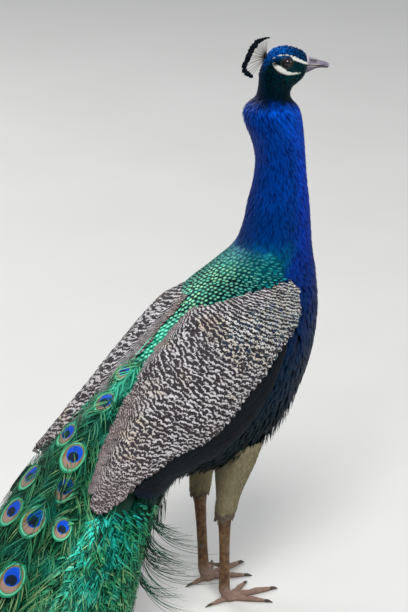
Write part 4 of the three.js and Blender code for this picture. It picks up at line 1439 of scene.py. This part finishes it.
def add_fill(coat, first, last):
    here = (fill_numbers >= first) & (fill_numbers < last)
    numbers, angles = fill_numbers[here], fill_angles[here]
    count = len(numbers)
    under = soft_step(1.3, 1.7, np.abs(angles)) * soft_step(30, 29, numbers)
    size = 0.75 + 0.3 * rng.random(count)
    size = np.where(numbers < 25.2, size * 0.6, size) * (1 - 0.2 * under)
    heading = fan_heading(numbers, angles) + sway(count, 0.35)
    add_barbs(coat, numbers, angles, heading, size, 0.5 + 2.5 * under, FILL_BARBS)


def add_eye_feathers(coat, first, last):
    """Eyes, the barbs round them and, on all but the first ones, the barbs along the shaft."""
    numbers, angles, size, base = EYES[(EYES[:, 0] >= first) & (EYES[:, 0] < last)].T
    heading = fan_heading(numbers, angles) + sway(len(numbers), 0.2)
    add_eyes(coat, numbers, angles, heading, size, base)
    add_barbs(coat, numbers, angles, heading, size, base - 0.6, EYE_BARBS)
    long = numbers > 23.5
    add_barbs(coat, numbers[long], angles[long], heading[long], size[long], base[long] - 1.2, SHAFT_BARBS)


def add_curls(coat, first, last):
    """Dense curly barbs low on both flanks."""
    numbers, angles = roots(first, last, 0.0135, 0.0135, low=0.85, high=1.9, jitter=0.9, thin=False)
    keep = (rng.random(len(numbers)) < 0.8) & (numbers > flight_end(angles) + 0.3)
    numbers, angles = numbers[keep], angles[keep]
    count = len(numbers)
    for side in (-1, 1):
        size = 0.8 + 0.5 * rng.random(count)
        heading = fan_heading(numbers, side * angles) + sway(count, 0.8)
        add_barbs(coat, numbers, side * angles, heading, size, 2 + 2.5 * rng.random(count), CURLY_BARBS)


plume = plume_feather("plume_feather")
TRAIN_PIECES = [(0, 25.6), (25.6, 27.2), (27.2, 28.8), (28.8, 31), (31, 33.4), (33.4, 40)]  # sections
for index, (first, last) in enumerate(TRAIN_PIECES):
    coat = Coat(f"train_feathers_{index + 1}")
    add_fill(coat, first, last)
    add_eye_feathers(coat, first, last)
    if 1 <= index <= 3:
        add_curls(coat, max(first, 25.95), min(last, 29.4))
    if index == 1:
        for side in (-1, 1):
            numbers, angles = 25.6 + 1.7 * rng.random(TUFTS), side * (1.75 + 0.7 * rng.random(TUFTS))
            add_strands(coat, numbers, angles, 0.075 + 0.085 * rng.random(TUFTS))
    coat.build(plume, "train_feathers")

# ---- Tail and thighs -------------------------------------------------------------------------------

# the tail's middle line and half width: x, z, half width in millimetres
TAIL_LINE = np.array([
    [-112, 234, 26], [-144, 192, 42], [-172, 148, 50], [-192, 100, 58], [-206, 58, 66], [-216, 27, 62],
], float)
TAIL_KEYS = np.arange(len(TAIL_LINE), dtype=float)
tail = Coat("tail_feathers")
u, v, half = template(16, 5, long_vane)
for layer in (0, 1):
    for k in range(9):
        f = (k - 4) / 4 * (0.96 if layer else 0.86)
        t = v * (len(TAIL_LINE) - 1) * (0.98 if layer else 0.93)
        row = smooth_rows(TAIL_KEYS, TAIL_LINE, t)
        y = row[:, 2] * 0.74 * f + half * u * 13
        x = row[:, 0] - 24 * (y / 84) ** 2 * v + 5 - 7 * layer + 1.5 * (1 - u * u) + 0.6 * k % 2
        z = row[:, 1] - 8 * (y / 84) ** 2 * v
        points = np.stack([x * MM + SHIFT_X, y * MM, z * MM], -1)[None]
        tail.add(points, u, v, np.array([[rng.random(), 26 / LAST, 0.5]]), 16, 5, own=True)


def tail_surface(number, angle, height=0.0):
    """The tail's fan: number from 0 at its root to 5 at its tip, angle from -1 to 1 across it."""
    number, angle = np.broadcast_arrays(np.asarray(number, float), np.asarray(angle, float))
    row = smooth_rows(TAIL_KEYS, TAIL_LINE, number)
    y = row[..., 2] * angle * 1.08
    x = row[..., 0] - 24 * (y / 84) ** 2 + (2 + height) * (1 - 0.4 * np.abs(angle))
    z = row[..., 1] - 8 * (y / 84) ** 2
    return np.stack([x * MM + SHIFT_X, (y + np.sign(angle) * height * np.abs(angle)) * MM, z * MM], -1)


skirt = Coat("tail_coverts")
numbers, angles = roots(0.2, 4.3, 0.022, 0.022, low=-0.98, high=0.98, surface=tail_surface, thin=False,
                        jitter=0.7)
keep = (np.abs(angles) > 0.45) & (np.abs(angles) < 0.86)
numbers, angles = numbers[keep], angles[keep]
count = len(numbers)
size = 0.6 + 0.3 * rng.random(count)
add_barbs(skirt, numbers, angles, 0.15 * angles, size, 2 + 3 * rng.random(count), SKIRT_BARBS, tail_surface)
for part in skirt.shade:
    part[:, 1:] = 27 / LAST, 0.6  # coloured as the train is there
skirt.build(plume, "train_feathers")
tail_brown = flight_feather("tail_feather", srgb(58, 38, 30), srgb(96, 66, 48), srgb(110, 82, 62))
tail.build(tail_brown, "tail_feathers", "tail")

LEGS = {
    "right": {"hock": (-16, -48, 149), "top": (8, -52, 262)},
    "left": {"hock": (10, 42, 149), "top": (24, 46, 262)},
}
# place from the hock, 0, to the top, 1; half its depth and half its width in millimetres
THIGH = np.array([
    [0, 14.5, 12], [0.14, 17.5, 14.5], [0.3, 21, 17], [0.5, 26, 23], [0.72, 33, 29], [1, 40, 34],
], float)
thighs = Coat("coat_thighs")
for name, leg in LEGS.items():
    hock, top = np.array(leg["hock"], float), np.array(leg["top"], float)

    def thigh(number, angle, height=0.0):
        """The thigh's surface: number runs from 1 at the hock to 0 at the top."""
        t = 1 - np.clip(number, -0.2, 1.12)
        row = smooth_rows(THIGH[:, 0], THIGH, np.clip(t, 0, 1))
        centre = hock + (top - hock) * np.asarray(t)[..., None]
        x = centre[..., 0] + np.cos(angle) * (row[..., 1] + height)
        y = centre[..., 1] + np.sin(angle) * (row[..., 2] + height)
        return np.stack([x * MM + SHIFT_X, y * MM, centre[..., 2] * MM], -1)

    numbers, angles = roots(-0.05, 1.0, 0.0044, 0.0036, surface=thigh, jitter=0.7, thin=False)
    count = len(numbers)
    length = 0.012 + 0.003 * rng.random(count)
    length = length * (1 - (0.15 + 0.75 * rng.random(count)) * soft_step(0.8, 1.0, numbers))
    tip = (0.2 + 0.4 * rng.random(count))[:, None]
    cover(thighs, numbers, angles, length, 0.0056, pointed,
          lambda v, n, a: -2.4 + (2.4 + tip) * v + 2.0 * soft_step(0.72, 0.95, n),
          heading=sway(count, 0.3), camber=0.4, surface=thigh)
thighs.build(thigh_feather("thigh_feather", srgb(104, 94, 70), srgb(146, 136, 106)), "thigh_feathers")

# ---- Crest -----------------------------------------------------------------------------------------

CREST_FORWARD, CREST_UP = -12, 831  # its root on the head
CREST_FIRST, CREST_SPREAD = 88, 146  # the shafts' angles in degrees
CREST_REACH = [29.5, 30, 28, 27.5, 30.5, 41, 40]  # their lengths in millimetres, first to last
CREST_SHAFTS = 21
crest = Coat("crest_feathers")


def on_crest(angle, reach, across, left):
    """Points of a crest feather: reach along its shaft and across it, as the shaft's angle turns them."""
    forward = CREST_FORWARD + math.cos(angle) * reach - math.sin(angle) * across
    up = CREST_UP + math.sin(angle) * reach + math.cos(angle) * across
    return from_head(forward, left, up)[None]


def crest_vane(v):
    return np.sin(np.clip(v, 0, 1) * 2.2) ** 0.9 * np.where(v > 0.85, 1 - (v - 0.85) * 4, 1)


for i in range(CREST_SHAFTS):
    t = i / (CREST_SHAFTS - 1)
    angle = math.radians(CREST_FIRST + CREST_SPREAD * t)
    reach = float(np.interp(t * 6, range(7), CREST_REACH)) + rng.random() * 1.5
    aside = (rng.random() - 0.5) * 0.3
    # the shaft: a thin strip, then the vane at its tip
    steps = np.repeat(np.linspace(0, 1, 9), 2)
    edge = np.tile([-1.0, 1.0], 9)
    r = steps * (reach - 6)
    points = on_crest(angle, r, edge * (0.5 - 0.2 * steps), aside * r + 0.35 * edge)
    crest.add(points, edge, steps, np.array([[rng.random(), 0.0, 0.0]]), 9, 2,
              place=(np.zeros(1), np.array([t])))
    u, v, half = template(9, 7, crest_vane)
    slim = float(np.interp(t, [0, 0.12, 0.3, 0.9, 1], [0.35, 0.7, 1, 1, 0.75]))
    r = reach - 9.2 * slim + 9.7 * slim * v - 1.4 * u * u * v
    across = half * u * (3.0 + 1.4 * slim) + (1 - slim) * -3 * v
    points = on_crest(angle, r, across, aside * r + 0.5 * (1 - u * u) * (1 if i % 2 else -1))
    crest.add(points, u, v, np.array([[rng.random(), 0.0, 0.0]]), 9, 7, np.array([1.0, 0, 0]), own=True)


def crest_material():
    sh = Shader("crest_feather")
    wave, v, _ = barbs(sh, 9, 3)
    vane = sh.split("extra")[0]
    shaft = sh.mix(v, srgb(46, 38, 32), srgb(96, 78, 58))
    tip = sh.mix(sh.noise(sh.place(), 260, 2), srgb(1, 4, 10), srgb(2, 20, 36))
    # painted shade between the barbs
    tip = sh.mix((1 - wave) * 0.6, tip, (0, 0.001, 0.002))
    return sh.finish(Base_Color=sh.mix(vane, shaft, tip), Roughness=0.6, Specular_IOR_Level=0.1,
                     Normal=sh.bump(wave, 0.4, 0.0004))


crest.build(crest_material(), "crest_feathers", "crest")

# ---- Eyes, bill, claws -----------------------------------------------------------------------------

eye_material = eyeball()
for side, name in ((-1, "right"), (1, "left")):
    rows, columns = 40, 48
    circle = np.linspace(0, 2 * math.pi, columns, endpoint=False)
    polar, round_ = np.meshgrid(np.linspace(0.0, math.pi, rows), circle, indexing="ij")
    off = np.sin(polar)
    swell = EYE_RADIUS - 0.1 + 0.45 * np.exp(-((polar / 0.55) ** 2))
    forward = EYE_FORWARD + swell * off * np.cos(round_)
    up = EYE_Z + swell * off * np.sin(round_)
    left = side * (EYE_SIDE + swell * np.cos(polar))
    points = from_head(forward, left, up).reshape(-1, 3)
    made = new_object(f"eyeball_{name}", points, grid_faces(rows, columns, closed=True))
    put_value(made.data, "off_axis", off.ravel() + (polar.ravel() > 1.57) * 1.0)
    dress(made, eye_material, "eye", f"eye_{name}")

# forward, top, bottom, half width
UPPER_BILL = np.array([
    [38, 831.6, 821.3, 6.2], [44.5, 832.6, 820.7, 7], [51, 831.8, 820.1, 6.6], [57.5, 830.2, 819.7, 5.8],
    [63.5, 827.8, 819.5, 4.9], [69, 825.8, 819.4, 4.1], [75, 824.4, 819, 3.3], [79.5, 822.2, 817.6, 2.4],
    [82.8, 819.5, 815.9, 1.5], [85, 817.2, 814.8, 0.7],
], float)
LOWER_BILL = np.array([
    [38, 819.2, 805.2, 6.2], [43.5, 819.6, 806.2, 6.6], [50, 819.5, 808.6, 6], [56, 819.2, 811.6, 5.2],
    [62, 819.0, 814.3, 4.3], [69, 818.8, 815.1, 3.3], [74.5, 818.3, 815, 2.4], [79.4, 817.1, 814.9, 1.1],
], float)


def bill_half(name, table, upper):
    rows, columns = 90, 64
    f = table[0, 0] + (table[-1, 0] - table[0, 0]) * np.linspace(0, 1, rows)
    row = smooth_rows(table[:, 0], table, f)
    angle = np.linspace(0, 2 * math.pi, columns, endpoint=False)
    top, bottom, half = row[:, 1:2], row[:, 2:3], row[:, 3:4]
    c, s = np.cos(angle)[None], np.sin(angle)[None]
    # a narrow ridge above, nearly flat where the halves meet
    middle = bottom + (top - bottom) * (0.32 if upper else 0.62)
    above, below = (1.05, 0.6) if upper else (0.6, 1.0)
    rise = np.where(c > 0, (top - middle) * np.abs(c) ** above, -(middle - bottom) * np.abs(c) ** below)
    wide = half * np.sign(s) * np.abs(s) ** (1.15 if upper else 1.0)
    up = middle + rise
    forward = np.broadcast_to(f[:, None], up.shape).copy()
    pale = soft_step(78, 85, forward) * 0.8
    if upper:
        # the nostril: a slit under a swollen flap, with painted shade in the slit
        slant = (up - 827.0) + (forward - 57.8) * 0.26
        slit = np.exp(-((forward - 58.2) / 6.6) ** 4 - (slant / 1.9) ** 2)
        flap = np.exp(-((forward - 57) / 7) ** 2 - ((slant - 2.6) / 1.5) ** 2)
        wide = wide * (1 - 0.3 * slit + 0.14 * flap)
        dark = slit
        pale = np.maximum(pale, np.exp(-((up - bottom - 0.6) / 1.7) ** 2) * soft_step(71, 62, forward))
        pale = np.maximum(pale, 0.5 * soft_step(50.6, 49.8, forward) * soft_step(823, 827, up))
        # a painted highlight on the flap
        pale = np.maximum(pale, 0.3 * flap)
    else:
        # the lower bill: darker, partly its own colour and partly painted shade under the upper bill
        dark = 0.5 + 0.3 * soft_step(54, 66, forward) * soft_step(84, 78, forward) + 0 * up
        pale = np.maximum(pale, 0.5 * np.exp(-((top - up) / 1.0) ** 2) * soft_step(66, 56, forward))
    points = from_head(forward, wide, up).reshape(-1, 3)
    ends = np.stack([points[:columns].mean(0), points[-columns:].mean(0)])
    made = new_object(name, np.concatenate([points, ends]), grid_faces(rows, columns, closed=True))
    close_ends(made, columns)
    for key, value in (("dark", dark), ("pale", pale)):
        put_value(made.data, key, np.concatenate([value.ravel(), value.ravel()[[0, -1]]]))
    dress(made, bill_material, "bill", name.replace("horn_", "bill_"))


bill_material = horn("bill", srgb(88, 82, 104), srgb(130, 122, 144), srgb(58, 52, 66), 700)
bill_half("horn_upper", UPPER_BILL, True)
bill_half("horn_lower", LOWER_BILL, False)

claw_material = horn("claw", srgb(60, 50, 44), srgb(96, 82, 70), srgb(30, 24, 22), 600)
for name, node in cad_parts.items():
    if name.startswith(("claw", "spur")):
        claw = modified(linked("source", node.data.copy()), f"horn_{name}",
                        ("SUBSURF", {"subdivision_type": "SIMPLE", "levels": 1, "render_levels": 1}))
        dress(claw, claw_material, "claw", name)

# ---- Floor, light and camera -----------------------------------------------------------------------

corners = np.array([[-30, -30, 0], [30, -30, 0], [30, 30, 0], [-30, 30, 0]], float)
floor = new_object("floor", corners, np.array([[0, 1, 2, 3]]))
sh = Shader("floor")
grain = sh.mix(sh.noise(sh.place(), 3, 4), srgb(214, 213, 209), srgb(222, 221, 218))
floor.data.materials.append(sh.finish(Base_Color=grain, Roughness=0.85))


def area_light(name, place, target, size, power, colour=(1, 1, 1)):
    data = bpy.data.lights.new(name, "AREA")
    data.size, data.energy, data.color = size, power, colour
    lamp = linked(name, data)
    lamp.location = place
    lamp.rotation_euler = (Vector(target) - Vector(place)).to_track_quat("-Z", "Y").to_euler()


area_light("key", (-1.0, -1.8, 3.8), (0.5, 0, 0.4), 1.8, 150)
area_light("fill", (3.0, -2.4, 1.8), (0.4, 0, 0.5), 2.5, 34, (0.95, 0.98, 1))
area_light("back", (0.6, 3.2, 2.8), (0.3, 0, 0.5), 2.2, 70)
world = bpy.data.worlds.new("studio")
world.use_nodes = True
sky = world.node_tree.nodes["Background"]
sky.inputs["Color"].default_value = (0.82, 0.86, 0.9, 1)
sky.inputs["Strength"].default_value = 0.42
bpy.context.scene.world = world

# the photo's view: how far the camera is turned and tilted down
turn, tilt = math.radians(-40), math.radians(20)
data = bpy.data.cameras.new("view")
data.lens, data.sensor_width = 160.588, 36
camera = linked("view", data)
camera.location = (-2.4693 + SHIFT_X, -2.9231, 1.8615)
looking = Vector((-math.sin(turn) * math.cos(tilt), math.cos(turn) * math.cos(tilt), -math.sin(tilt)))
camera.rotation_euler = looking.to_track_quat("-Z", "Y").to_euler()
data.clip_end = 100
bpy.context.scene.camera = camera
bpy.context.scene.view_settings.view_transform = "Standard"
